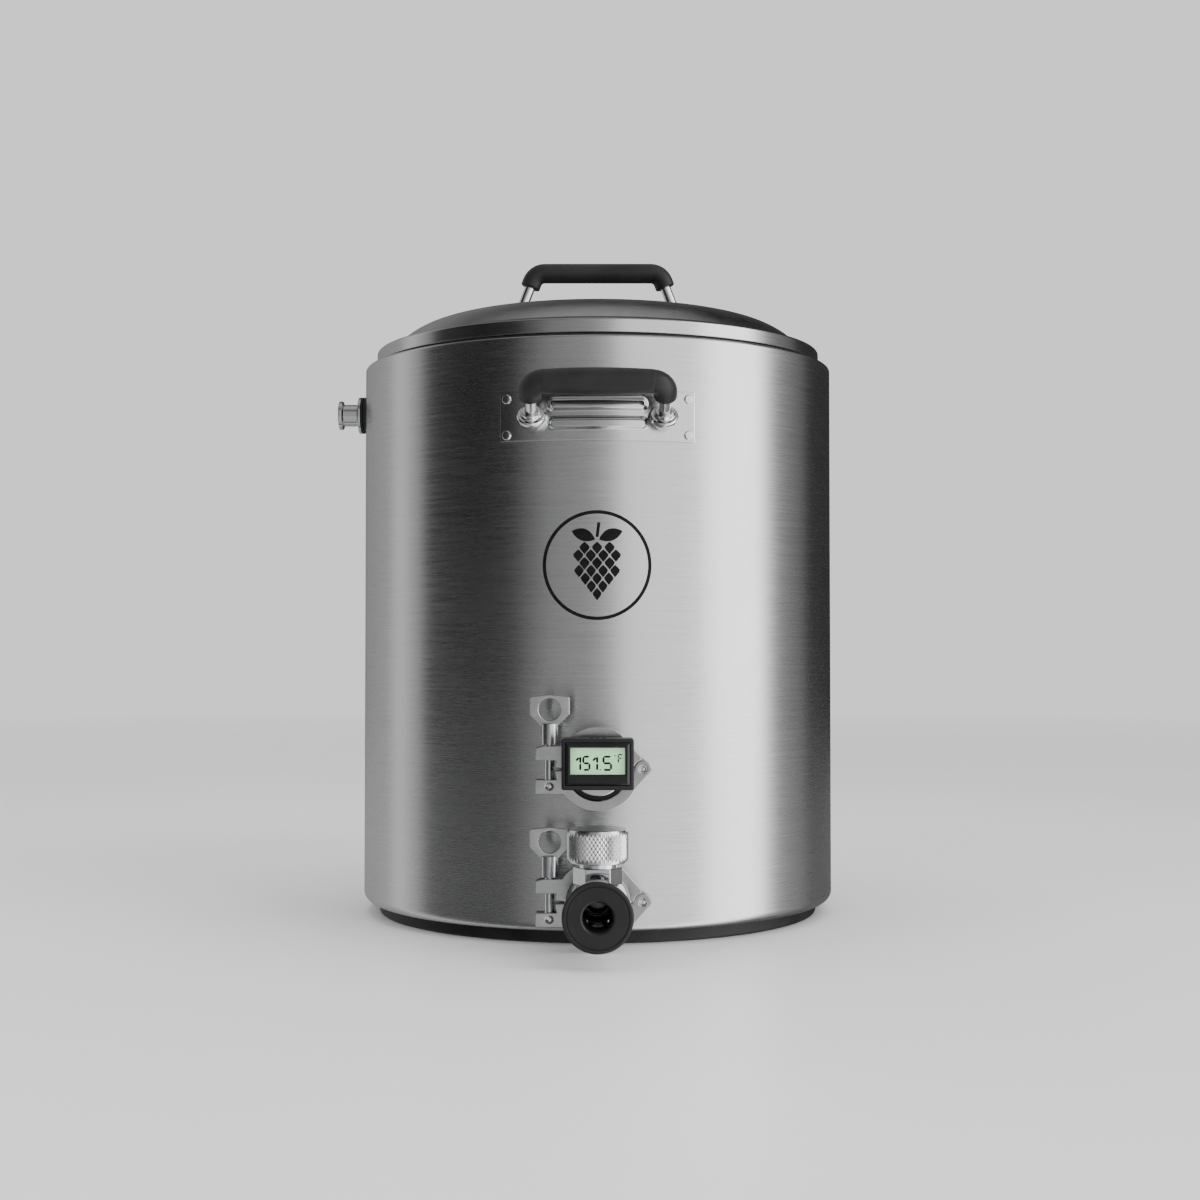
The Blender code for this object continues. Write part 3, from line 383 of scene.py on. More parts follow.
def moulded(name, slot, dark, light, rough, scale, depth, sheen=0.0, strength=0.35):
    """Moulded rubber or plastic with a fine skin."""
    material, n, inputs = begin(name, slot)
    place = n.object_place()
    cloud = n.noise(place, 28.0, 4.0, 0.6)
    skin = n.noise(place, scale, 3.0, 0.65)
    n.feed(inputs["Base Color"], n.ramp(cloud, [(0.32, dark), (0.70, light)]))
    speck = n.math("ADD", n.math("MULTIPLY", cloud, 0.5), n.math("MULTIPLY", skin, 0.5))
    n.feed(inputs["Roughness"], n.span(speck, 0.35, 0.65, rough - 0.06, rough + 0.08))
    n.set(inputs, {"Specular IOR Level": 0.38, "Sheen Weight": sheen, "Sheen Roughness": 0.4})
    n.feed(inputs["Normal"], n.bump(skin, strength, depth))
    return material


def make_foam():
    material, n, inputs = begin("rigid_foam", "foam")
    cell = n.node("TexVoronoi", {"Vector": n.object_place(), "Scale": 700.0}).outputs["Distance"]
    n.feed(inputs["Base Color"], n.ramp(cell, [(0.0, (0.86, 0.78, 0.53)), (0.8, (0.70, 0.60, 0.36))]))
    inputs["Roughness"].default_value = 0.9
    n.feed(inputs["Normal"], n.bump(cell, 0.5, 0.0004))
    return material


def make_lcd():
    """Pale green panel with a faint painted glow of its own colour, darker towards its edges."""
    material, n, inputs = begin("lcd_panel", "lcd_green")
    place = n.object_place()
    side = n.math("ABSOLUTE", n.split(place)["X"])
    edge = n.span(side, 0.012, 0.0205, 0.0, 1.0)
    grid = n.noise(place, 900.0, 2.0)
    tint = n.ramp(edge, [(0.0, (0.38, 0.68, 0.38)), (1.0, (0.30, 0.56, 0.31))])
    n.feed(inputs["Base Color"], tint)
    n.feed(inputs["Roughness"], n.span(grid, 0.3, 0.7, 0.42, 0.5))
    # painted glow: the panel gives off a little light of its own colour
    n.feed(inputs["Emission Color"], tint)
    inputs["Emission Strength"].default_value = 0.45
    return material


def make_glass():
    material, n, inputs = begin("display_cover", "clear_plastic")
    cloud = n.noise(n.object_place(), 120.0, 2.0)
    n.feed(inputs["Roughness"], n.span(cloud, 0.3, 0.7, 0.03, 0.07))
    n.set(inputs, {"Base Color": (0.93, 0.97, 0.94, 1.0), "Transmission Weight": 1.0})
    n.set(inputs, {"IOR": 1.25, "Alpha": 0.08})
    return material


def make_board():
    material, n, inputs = begin("circuit_board", "board_green")
    brick = n.node("TexBrick", {"Vector": n.object_place(), "Scale": 300.0, "Mortar Size": 0.08})
    track = brick.outputs["Fac"]
    n.feed(inputs["Base Color"], n.ramp(track, [(0.0, (0.015, 0.13, 0.05)), (1.0, (0.05, 0.25, 0.10))]))
    inputs["Roughness"].default_value = 0.4
    return material


def make_ink():
    """Black print on steel, with slight unevenness."""
    material, n, inputs = begin("black_print", "black_plastic")
    cloud = n.noise(n.object_place(), 180.0, 4.0)
    tint = n.ramp(cloud, [(0.3, (0.003, 0.003, 0.0035)), (0.7, (0.008, 0.008, 0.009))])
    n.feed(inputs["Base Color"], tint)
    n.feed(inputs["Roughness"], n.span(cloud, 0.3, 0.7, 0.42, 0.55))
    inputs["Specular IOR Level"].default_value = 0.15
    return material


# ---------------------------------------------------------------- outlines

def arc(centre, radius, start, end, steps):
    points = []
    for i in range(steps + 1):
        angle = radians(start + (end - start) * i / steps)
        points.append((centre[0] + radius * cos(angle), centre[1] + radius * sin(angle)))
    return points


def circle(centre, radius, steps=48):
    return arc(centre, radius, 0, 360 - 360 / steps, steps - 1)


def box_outline(left, right, low, high):
    return [(left, low), (right, low), (right, high), (left, high)]


def turned_by(point, angle):
    x, y = point
    return (x * cos(angle) - y * sin(angle), x * sin(angle) + y * cos(angle))


def rounded(points, radius, steps=4, closed=True):
    """Outline with arcs in place of its corners; radius is one number, or one for each corner."""
    made = []
    count = len(points)
    for i, point in enumerate(points):
        wanted = radius if isinstance(radius, (int, float)) else radius[i]
        if wanted <= 0 or (not closed and i in (0, count - 1)):
            made.append(tuple(point))
            continue
        corner = Vector(point)
        back = Vector(points[i - 1]) - corner
        ahead = Vector(points[(i + 1) % count]) - corner
        limit = 0.49 * min(back.length, ahead.length)
        back.normalize()
        ahead.normalize()
        half = acos(max(-1.0, min(1.0, back.dot(ahead)))) / 2
        if half > 1.55:
            made.append(tuple(point))
            continue
        reach = min(wanted / tan(half), limit)
        centre = corner + (back + ahead).normalized() * (reach / cos(half))
        start = corner + back * reach - centre
        end = corner + ahead * reach - centre
        sign = 1 if start.x * end.y - start.y * end.x > 0 else -1
        for k in range(steps + 1):
            x, y = turned_by(start, sign * (pi - 2 * half) * k / steps)
            made.append((centre.x + x, centre.y + y))
    return made


def offset(path, distance, closed=False):
    """Path moved to its left by a distance, with mitred corners."""
    moved = []
    count = len(path)
    for i, point in enumerate(path):
        sides = []
        for a, b in ((i - 1, i), (i, i + 1)):
            if closed or (a >= 0 and b < count):
                along = Vector(path[b % count]) - Vector(path[a % count])
                sides.append(Vector((-along.y, along.x)).normalized())
        normal = sum(sides, Vector((0.0, 0.0))).normalized()
        moved.append(tuple(Vector(point) + normal * (distance / max(0.3, normal.dot(sides[0])))))
    return moved


def sheet(path, thickness):
    """Closed outline of sheet metal that follows a path and lies to its left."""
    return path + offset(path, thickness)[::-1]


# ---------------------------------------------------------------- meshes

def ring_of(mesh, radius, height, count):
    return [mesh.verts.new((*turned_by((radius, 0.0), 2 * pi * i / count), height)) for i in range(count)]


def lathe(outline, segments=ROUND):
    """Closed outline of (radius, height) points, turned about Z."""
    mesh = bmesh.new()
    rings = [ring_of(mesh, radius, height, segments if radius > 1e-6 else 1) for radius, height in outline]
    for lower, upper in zip(rings, rings[1:] + rings[:1]):
        if len(lower) == 1 and len(upper) == 1:
            continue
        for i in range(segments):
            j = (i + 1) % segments
            below = [lower[i % len(lower)], lower[j % len(lower)]]
            above = [upper[j % len(upper)], upper[i % len(upper)]]
            mesh.faces.new(list(dict.fromkeys(below + above)))
    return mesh


def skin_between(mesh, rings):
    for lower, upper in zip(rings, rings[1:]):
        for i in range(len(lower)):
            j = (i + 1) % len(lower)
            mesh.faces.new((lower[i], lower[j], upper[j], upper[i]))


def turned(outline, radii, steps=4, segments=ROUND):
    """Outline with rounded corners, turned about Z."""
    return lathe(rounded(outline, radii, steps), segments)


def cylinder(radius, low, high, segments=96):
    return lathe([(0, low), (radius, low), (radius, high), (0, high)], segments)


def carried_round(steps, section):
    """Closed section carried round a circle; it is a function of the angle."""
    mesh = bmesh.new()
    rings = [[mesh.verts.new(point) for point in section(2 * pi * k / steps)] for k in range(steps)]
    skin_between(mesh, rings + rings[:1])
    return mesh


def slab(outline, low, high, edge=0.5, holes=(), steps=3):
    """Plate of an anticlockwise outline, with rounded edges around it and around its holes."""
    mesh = bmesh.new()
    ends = ([], [])
    levels = []
    for k in range(steps + 1):
        angle = pi / 2 * k / steps
        levels.append((low + edge * (1 - cos(angle)), edge * (1 - sin(angle))))
    levels += [(low + high - level, inset) for level, inset in levels[::-1]]
    for loop in [outline] + [hole[::-1] for hole in holes]:
        rings = [[mesh.verts.new((*point, level)) for point in offset(loop, inset, True)]
                 for level, inset in levels]
        skin_between(mesh, rings)
        ends[0].append(rings[0])
        ends[1].append(rings[-1])
    for group in ends:
        edges = [mesh.edges.get((ring[i - 1], ring[i])) for ring in group for i in range(len(ring))]
        bmesh.ops.triangle_fill(mesh, use_beauty=True, edges=edges)
    return mesh


def bar(radius, low, high, edge=0.4, segments=64):
    """Round bar along Z with rounded ends."""
    return turned([(0, low), (radius, low), (radius, high), (0, high)], [0, edge, edge, 0], 4, segments)


def along(path, distances):
    """Points of a path at distances from its start."""
    made = []
    for wanted in distances:
        left = wanted
        for a, b in zip(path, path[1:]):
            step = (b - a).length
            if left <= step or b is path[-1]:
                made.append(a.lerp(b, left / step))
                break
            left -= step
    return made


def rounded_path(corners, bend, steps=14):
    """Flat path in space through corners, each replaced by an arc of the bend radius."""
    points = [Vector(corners[0])]
    for before, corner, after in zip(corners, corners[1:], corners[2:]):
        corner = Vector(corner)
        back = (Vector(before) - corner).normalized()
        ahead = (Vector(after) - corner).normalized()
        half = acos(max(-1.0, min(1.0, back.dot(ahead)))) / 2
        centre = corner + (back + ahead).normalized() * (bend / sin(half))
        start = corner + back * (bend / tan(half)) - centre
        for i in range(steps + 1):
            angle = (pi - 2 * half) * i / steps
            points.append(centre + start * cos(angle) - back * bend * sin(angle))
    points.append(Vector(corners[-1]))
    return points


def length_of(path):
    return sum((b - a).length for a, b in zip(path, path[1:]))


def end_steps(total, edge, pitch):
    """Distances along a sweep: close together at its rounded ends, even between them."""
    near = [edge * (1 - cos(pi / 2 * k / 4)) for k in range(5)]
    count = max(2, round((total - 2 * edge) / pitch))
    middle = [edge + (total - 2 * edge) * k / count for k in range(1, count)]
    return near + middle + [total - d for d in near[::-1]]


def sweep(path, radius, across, edge=0.5, pitch=1.5, sides=40, bore=0.0):
    """Round bar or sleeve along a flat path; radius is a number, or a function of a point on the path."""
    total = length_of(path)
    distances = end_steps(total, edge, pitch)
    points = along(path, distances)
    across = Vector(across).normalized()
    mesh = bmesh.new()
    layers = []
    for inner in ([False, True] if bore else [False]):
        rings = []
        for i, centre in enumerate(points):
            way = (points[min(i + 1, len(points) - 1)] - points[max(i - 1, 0)]).normalized()
            other = way.cross(across)
            near = min(distances[i], total - distances[i], edge)
            size = bore if inner else (radius(centre) if callable(radius) else radius)
            if not inner:
                size -= edge - sqrt(max(0.0, edge ** 2 - (edge - near) ** 2))
            spokes = [turned_by((size, 0.0), 2 * pi * k / sides) for k in range(sides)]
            rings.append([mesh.verts.new(centre + across * x + other * y) for x, y in spokes])
        skin_between(mesh, rings)
        layers.append(rings)
    for end in (0, -1):
        if bore:
            skin_between(mesh, [layers[0][end], layers[1][end]])
        else:
            mesh.faces.new(layers[0][end])
    return mesh


def combined(mesh, *steps):
    """Mesh after boolean steps, each an operation and a tool's mesh."""
    made = []

    def temporary(shape):
        bmesh.ops.recalc_face_normals(shape, faces=shape.faces)
        made.append(link("step", mesh_data("step", shape)))
        return made[-1]

    base = temporary(mesh)
    for operation, tool in steps:
        step = base.modifiers.new("step", "BOOLEAN")
        step.object = temporary(tool)
        step.operation = operation
        step.solver = "EXACT"
    graph = bpy.context.evaluated_depsgraph_get()
    data = bpy.data.meshes.new_from_object(base.evaluated_get(graph))
    result = bmesh.new()
    result.from_mesh(data)
    bpy.data.meshes.remove(data)
    for item in made:
        data = item.data
        bpy.data.objects.remove(item)
        bpy.data.meshes.remove(data)
    return result


def piece(name, mesh, material, stands_for=(), body="kettle", place=ROW, sharp=32):
    """Shown piece made from a mesh in millimetres, which rides on a body and stands for CAD nodes."""
    mesh.transform(Matrix.Scale(MM, 4) @ place)
    bmesh.ops.recalc_face_normals(mesh, faces=mesh.faces)
    data = mesh_data(name, mesh)
    data.materials.append(material)
    data.shade_smooth()
    data.set_sharp_from_angle(angle=radians(sharp))
    made = link(name, data)
    weigh = made.modifiers.new("even_normals", "WEIGHTED_NORMAL")
    weigh.keep_sharp = True
    weigh.weight = 80
    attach(made, body)
    if stands_for:
        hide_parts(*([stands_for] if isinstance(stands_for, str) else stands_for))
    return made


def shift(x, y, z):
    return Matrix.Translation((x, y, z))


def port(height):
    """Frame of a front fitting: X across, Y up, Z out along the row's -Y."""
    return shift(0, 0, height) @ Matrix.Rotation(pi / 2, 4, "X")


def side_port():
    """Frame of the side port: Z out along the row's -X."""
    return shift(0, 0, SIDE_Z) @ Matrix.Rotation(-pi / 2, 4, "Y")


# ---------------------------------------------------------------- vessel

def make_vessel(look):
    fillet = 8.0
    wall = [(0, SHELL_BOTTOM)] + arc((SHELL_R - fillet, SHELL_BOTTOM + fillet), fillet, -90, 0, 14)
    wall += arc((SHELL_R - 2.2, SHELL_TOP - 2.2), 2.2, 0, 90, 6) + [(POT_R + 1.5, SHELL_TOP)]
    piece("kettle_outer_shell", lathe(sheet(wall, SHEET), VESSEL_ROUND), look["shell"], "outer_shell")

    ledge = [(POT_R, 62), (POT_R, 58), (178, 58), (178, 22), (32, 19.5), (30, 15.5), (0, 15.5)]
    inside = [(POT_R, SHELL_TOP - 0.3)] + [(POT_R, SHELL_TOP - 20 * k) for k in range(1, 20)] + [(POT_R, 64)]
    inside += rounded(ledge, [0, 1.5, 1.5, 4, 2, 1.5, 0], 5, False)[1:]
    pot = lathe(sheet(inside, SHEET), VESSEL_ROUND)
    tools = []
    holes = ((port(THERMO_Z), 19.2, 96), (port(DRAIN_Z), 12.9, 96), (side_port(), 9.7, 64))
    for frame, radius, segments in holes:
        tool = cylinder(radius, 150, 195, segments)
        tool.transform(frame)
        tools.append(("DIFFERENCE", tool))
    piece("kettle_inner_pot", combined(pot, *tools), look["pot"], "inner_pot")

    pad = turned([(0, 0), (189.5, 0), (189.5, 10.2), (0, 10.2)], [0, 2.2, 1.0, 0], 6, VESSEL_ROUND)
    piece("kettle_base_pad", pad, look["rubber"], "base_pad")
    piece("thermometer_weld", weld_ring(THERMO_Z, THERMO_TUBE_R), look["weld"])
    piece("drain_weld", weld_ring(DRAIN_Z, DRAIN_TUBE_R), look["weld"])


def weld_ring(height, radius):
    """Weld bead where a tube along -Y leaves the shell."""
    profile = [(-0.5, -1.0), (2.8, -0.5), (2.6, 0.1), (1.7, 0.35), (1.0, 0.8), (0.45, 1.5), (0.1, 2.5),
               (-0.5, 2.7)]

    def section(angle):
        wave = 0.12 * sin(angle * 34)
        for grow, rise in profile:
            x, z = turned_by((radius + grow + (wave if rise > 0 and grow > 0 else 0), 0.0), angle)
            yield x, -sqrt(SHELL_R ** 2 - x ** 2) - rise, height + z

    return carried_round(120, section)


def make_emblem(look):
    """Generic hop cone in a ring, printed on the front wall."""
    centre = (-0.5, 290.4)
    shapes = [(circle((0, 0), 42.0, 120), [circle((0, 0), 39.4, 120)])]

    def scale(x, y, half, tall):
        right = [(0.52, 0.30), (1.0, 0.06), (0.86, -0.16), (0.36, -0.42)]
        loop = [(0, 0.50)] + right + [(0, -0.62)] + [(-across, up) for across, up in right[::-1]]
        return rounded([(x + half * across, y + tall * up) for across, up in loop[::-1]], 0.5, 3)

    rows = ((3, 9.6), (4, 9.6), (3, 9.6), (4, 9.2), (3, 9.0), (2, 8.8), (1, 8.6))
    for row, (count, width) in enumerate(rows):
        for k in range(count):
            x = (k - (count - 1) / 2) * width
            shapes.append((scale(x, 13.6 - 5.9 * row, width / 2 - 0.9, 8.7), []))
    leaf = [(19 * k / 12, 5.0 * sin(pi * k / 12) ** 0.8) for k in range(13)]
    leaf += [(19 * k / 12, -4.2 * sin(pi * k / 12) ** 0.8) for k in range(11, 0, -1)]
    leaf = [turned_by(point, radians(20)) for point in leaf]
    leaf = [(1.6 + x, 19.6 + y) for x, y in leaf]
    shapes += [([(-x, y) for x, y in leaf[::-1]], []), (leaf, [])]
    shapes.append((rounded([(-1.1, 21.5), (1.1, 21.5), (2.6, 32.5), (0.2, 32.9)], 0.4, 2), []))
    mesh = bmesh.new()
    for outline, holes in shapes:
        data = mesh_data("part", slab(outline, 0.0, 0.12, 0.04, holes, 1))
        mesh.from_mesh(data)
        bpy.data.meshes.remove(data)
    for k in range(-14, 15):
        everything = mesh.verts[:] + mesh.edges[:] + mesh.faces[:]
        bmesh.ops.bisect_plane(mesh, geom=everything, plane_co=(k * 3.0 + 0.05, 0, 0), plane_no=(1, 0, 0))
    for vert in mesh.verts:
        x, y, rise = vert.co
        angle = (centre[0] + x) / SHELL_R
        reach = SHELL_R + 0.03 + rise
        vert.co = (reach * sin(angle), -reach * cos(angle), centre[1] + y)
    piece("front_emblem", mesh, look["ink"])


# ---------------------------------------------------------------- false bottom

def make_false_bottom(look):
    """Plate with rings of short slots, its seal and its lifting loop."""
    mesh = bmesh.new()
    low, high = 59.6, 61.1
    count = 24
    radii = [0.0, 14.0]
    while radii[-1] < 160:
        radii += [radii[-1] + 4.2, radii[-1] + 6.6]
    radii += [176.0, 180.0]
    angles = []
    for k in range(count):
        angles += [360 * (k + share) / count for share in (0.0, 0.10, 0.5, 0.90)]
    grid = {}

    def vert(i, j):
        if i == 0:
            j = 0
        j %= len(angles)
        if (i, j) not in grid:
            grid[i, j] = mesh.verts.new((*turned_by((radii[i], 0.0), radians(angles[j])), low))
        return grid[i, j]

    for i in range(len(radii) - 1):
        slot_ring = i >= 2 and i % 2 == 0 and radii[i + 1] < 170
        for j in range(len(angles)):
            if not (slot_ring and j % 4 in (1, 2)):
                corners = [vert(i, j), vert(i + 1, j), vert(i + 1, j + 1), vert(i, j + 1)]
                mesh.faces.new(list(dict.fromkeys(corners)))
    made = bmesh.ops.extrude_face_region(mesh, geom=mesh.faces[:])
    raised = [item for item in made["geom"] if isinstance(item, bmesh.types.BMVert)]
    bmesh.ops.translate(mesh, verts=raised, vec=(0, 0, high - low))
    body = "false_bottom"
    plate = piece("false_bottom_plate", mesh, look["pot"], "false_bottom", body)
    soften = plate.modifiers.new("edges", "BEVEL")
    soften.width = 0.0002
    soften.segments = 1
    soften.angle_limit = radians(50)

    rim = [(178.4, 58.3), (183.4, 58.3), (183.4, 61.1), (180.3, 61.1), (180.3, 59.3), (178.4, 59.3)]
    seal = turned(rim, [0.4, 0.6, 0.6, 0.3, 0.2, 0.3], 3, VESSEL_ROUND)
    piece("false_bottom_seal", seal, look["silicone"], "false_bottom_gasket", body)
    half = 24
    path = rounded_path([(-half, 0, 61.4), (-half, 0, 83.4), (half, 0, 83.4), (half, 0, 61.4)], 7.0)
    loop = sweep(path, 2.5, (0, 1, 0), 0.3, 1.5, 28)
    piece("false_bottom_lifting_loop", loop, look["polished"], "false_bottom_loop", body)
    for label, side in SIDES:
        bead = lathe([(2.2, -0.3), (4.6, -0.3), (4.2, 0.3), (3.3, 0.8), (2.8, 1.7), (2.2, 1.9)], 40)
        piece("loop_weld_" + label, bead, look["weld"], (), body, shift(half * side, 0, 61.2))


# ---------------------------------------------------------------- lid

def dome_height(radius):
    return DOME_RIM + (LID_TOP - DOME_RIM) * (1 - (radius / DOME_R) ** DOME_POWER)


def make_lid(look):
    radii = [0, 40, 80, 100] + [100 + 78 * (1 - (1 - k / 40) ** 1.8) for k in range(1, 40)]
    path = [(r, dome_height(r)) for r in radii]
    foot = [(DOME_R, DOME_RIM), (188.7, 481.1), (191.7, 482.8), (SKIRT_R, 481.6), (SKIRT_R, 470.9),
            (182.5, 470.9), (182.5, 458.0)]
    path += rounded([path[-1]] + foot, [0, 2.5, 2.6, 1.3, 1.6, 1.3, 0.8, 0], 6, False)[1:]
    piece("kettle_lid", lathe(sheet(path, -1.0), VESSEL_ROUND), look["lid"], "lid", "lid")
    seal = turned(box_outline(186.5, 192.9, 468.0, 470.6), 0.4, 3, VESSEL_ROUND)
    piece("lid_seal", seal, look["rubber"], "lid_gasket", "lid")

    top, splay, corner = 557.8, 0.385, 55.0

    def leg_x(height):
        return corner + (top - height) * splay

    def ends(height):
        x = leg_x(height)
        return [(-x, 0, height), (-corner, 0, top), (corner, 0, top), (x, 0, height)]

    rod = sweep(rounded_path(ends(511.2), 12.0), ROD_R, (0, 1, 0), 0.2, 1.5, 40)
    piece("lid_handle_bar", rod, look["polished"], "lid_handle_rod", "lid")
    grip = sweep(rounded_path(ends(545.0), 12.0), 8.6, (0, 1, 0), 1.4, 1.2, 56, ROD_R + 0.1)
    piece("lid_handle_grip", grip, look["grip"], "lid_grip", "lid")
    weld = [(4.0, -0.5), (7.6, -0.4), (7.2, 0.15), (6.0, 0.5), (5.2, 1.1), (4.75, 2.2), (4.0, 2.4)]
    for label, side in SIDES:
        bead = lathe(weld, 64)
        shear = Matrix.Identity(4)
        shear[0][2] = -splay * side
        place = shift(leg_x(LID_TOP) * side, 0, LID_TOP) @ shear
        piece("lid_handle_weld_" + label, bead, look["weld"], (), "lid", place)


# ---------------------------------------------------------------- side handles

def handle_point(x, distance):
    out = PLATE_BACK + PLATE_T + distance * cos(HANDLE_TILT)
    return Vector((x, -out, HANDLE_Z + distance * sin(HANDLE_TILT)))


def plate_mesh():
    """Curved plate with two raised pads, on a fine grid."""
    half_angle = radians(21.6)
    low, high = 385.8, 424.6
    columns, rows = 236, 66
    pads = ((399.05, 5.6), (413.8, 5.8))
    pad_half, corner, slope, tall = 38.5, 5.2, 3.6, 3.0

    def rise(x, z):
        best = 0.0
        for middle, half in pads:
            dx = max(0.0, abs(x) - (pad_half - corner))
            dz = max(0.0, abs(z - middle) - (half - corner))
            t = max(0.0, min(1.0, (corner - hypot(dx, dz)) / slope))
            best = max(best, tall * t * t * (3 - 2 * t))
        return best

    mesh = bmesh.new()
    layers = []
    for back in (True, False):
        grid = []
        for i in range(rows + 1):
            z = low + (high - low) * i / rows
            row = []
            for j in range(columns + 1):
                angle = half_angle * (2 * j / columns - 1)
                rim = min(z - low, high - z, (half_angle - abs(angle)) * SHELL_R)
                soft = 0.3 * (1 - min(1.0, rim / 0.6)) ** 2
                out = PLATE_BACK if back else PLATE_BACK + PLATE_T - soft + rise(SHELL_R * sin(angle), z)
                row.append(mesh.verts.new((out * sin(angle), -out * cos(angle), z)))
            grid.append(row)
        for i in range(rows):
            for j in range(columns):
                mesh.faces.new((grid[i][j], grid[i][j + 1], grid[i + 1][j + 1], grid[i + 1][j]))
        layers.append(grid)
    back, face = layers
    edge = [(0, j) for j in range(columns + 1)] + [(i, columns) for i in range(1, rows + 1)]
    edge += [(rows, j) for j in range(columns - 1, -1, -1)] + [(i, 0) for i in range(rows - 1, 0, -1)]
    for (i, j), (k, m) in zip(edge, edge[1:] + edge[:1]):
        mesh.faces.new((back[i][j], back[k][m], face[k][m], face[i][j]))
    return mesh


def make_handle(look, label, turn):
    frame = Matrix.Rotation(turn, 4, "Z")
    piece(label + "_mount_plate", plate_mesh(), look["plate"], label + "_plate", place=frame)
    cup = [(0, -9), (5.6, -9), (8.4, -5.6), (10.4, -2.4), (11, -0.2), (11, 1.7), (10.2, 2.9), (8.3, 3.2),
           (7.6, 3.6), (7.2, 6.2), (6.6, 6.6), (5.3, 6.6), (4.9, 5.8), (0, 5.8)]
    for name, side in SIDES:
        leaning = Matrix.Rotation(pi / 2 - HANDLE_TILT, 4, "X")
        place = frame @ shift(*handle_point(side * HANDLE_HALF, 0)) @ leaning
        shape = turned(cup, [0, 0, 3, 3, 1.2, 1.0, 0.8, 0.5, 0.4, 0.5, 0.4, 0.4, 0.3, 0], 4, 96)
        piece(label + "_cup_" + name, shape, look["polished"], label + "_plate", place=place)
    slope = Vector((0, -cos(HANDLE_TILT), sin(HANDLE_TILT)))
    across = slope.cross(Vector((1, 0, 0)))

    def path(start):
        corners = [handle_point(-HANDLE_HALF, start), handle_point(-HANDLE_HALF, HANDLE_REACH),
                   handle_point(HANDLE_HALF, HANDLE_REACH), handle_point(HANDLE_HALF, start)]
        return rounded_path(corners, 11.0)

    rod = sweep(path(2.8), ROD_R, across, 0.3, 1.5, 40)
    piece(label + "_bar", rod, look["polished"], label + "_rod", place=frame)

    def grip_radius(point):
        swell = 9.0 + 1.36 * max(0.0, 1 - (point.x / 42.9) ** 2)
        seam = 0.22 * exp(-((abs(point.x) - 42.2) / 0.45) ** 2)
        return swell - seam

    grip = sweep(path(21.0), grip_radius, across, 1.8, 0.7, 56, ROD_R + 0.1)
    piece(label + "_soft_grip", grip, look["grip"], label + "_grip", place=frame)
    angle = asin(69.6 / SHELL_R)
    head = [(0, -1.0), (3.75, -1.0), (3.75, 0.45), (3.1, 1.15), (0, 1.25)]
    spots = ((-1, 390.9), (1, 390.9), (-1, 418.8), (1, 418.8))
    for number, (side, height) in enumerate(spots, 1):
        place = frame @ Matrix.Rotation(side * angle, 4, "Z") @ port(height) @ shift(0, 0, 205.1)
        shape = turned(head, [0, 0, 0.5, 0.6, 0], 4, 56)
        name = "{}_rivet_{}".format(label, number)
        piece(name.replace("rivet", "rivet_head"), shape, look["polished"], name, place=place)


# ---------------------------------------------------------------- clamps

def ring_point(height, side=1):
    return (side * sqrt(RING_R ** 2 - height ** 2), height)


def angle_of(point):
    return degrees(atan2(point[1], point[0]))


def upper_outline():
    """Upper half of a clamp, seen from the front, with the lug that the wing nut presses on."""
    inner = arc((0, 0), RING_INNER_R, 180 - SPLIT, SPLIT, 72)
    clearance = 6.8
    meet = 180 - degrees(asin(inner[-1][1] / clearance))
    notch = arc(HINGE, clearance, meet, 100, 14)
    over = arc((0, 0), RING_R, angle_of(ring_point(26.5)), angle_of(ring_point(17.1, -1)), 44)
    swing = 17.4 - BOLT_PIVOT[1]
    start = 90 + degrees(acos((17.1 - BOLT_PIVOT[1]) / swing))
    end = 90 + degrees(asin((BOLT_PIVOT[0] - LUG_END) / swing))
    crown = arc(BOLT_PIVOT, swing, start, end, 8)
    under = arc((0, 0), RING_R, 180 - angle_of(ring_point(6.5)), 180 - SPLIT, 6)
    return inner + notch + [(32.6, 9.1)] + over + crown + [(LUG_END, 6.5)] + under


def lower_outline():
    """Lower half of a clamp, with its knuckle at the hinge and the lug of the bolt's pin."""
    inner = arc((0, 0), RING_INNER_R, -SPLIT, -180 + SPLIT, 72)
    end = 180 + degrees(asin(-inner[0][1] / KNUCKLE_R))
    knuckle = arc(HINGE, KNUCKLE_R, 15, end, 18)
    under = arc((0, 0), RING_R, -180 - angle_of(ring_point(-18.4, 1)), angle_of(ring_point(-14.8)), 44)
    side = arc((0, 0), RING_R, -180 + SPLIT, -180 - angle_of(ring_point(-7.9)), 6)
    return inner + side + [(LUG_END, -7.9), (LUG_END, -18.4)] + under + [(40.8, -0.5)] + knuckle


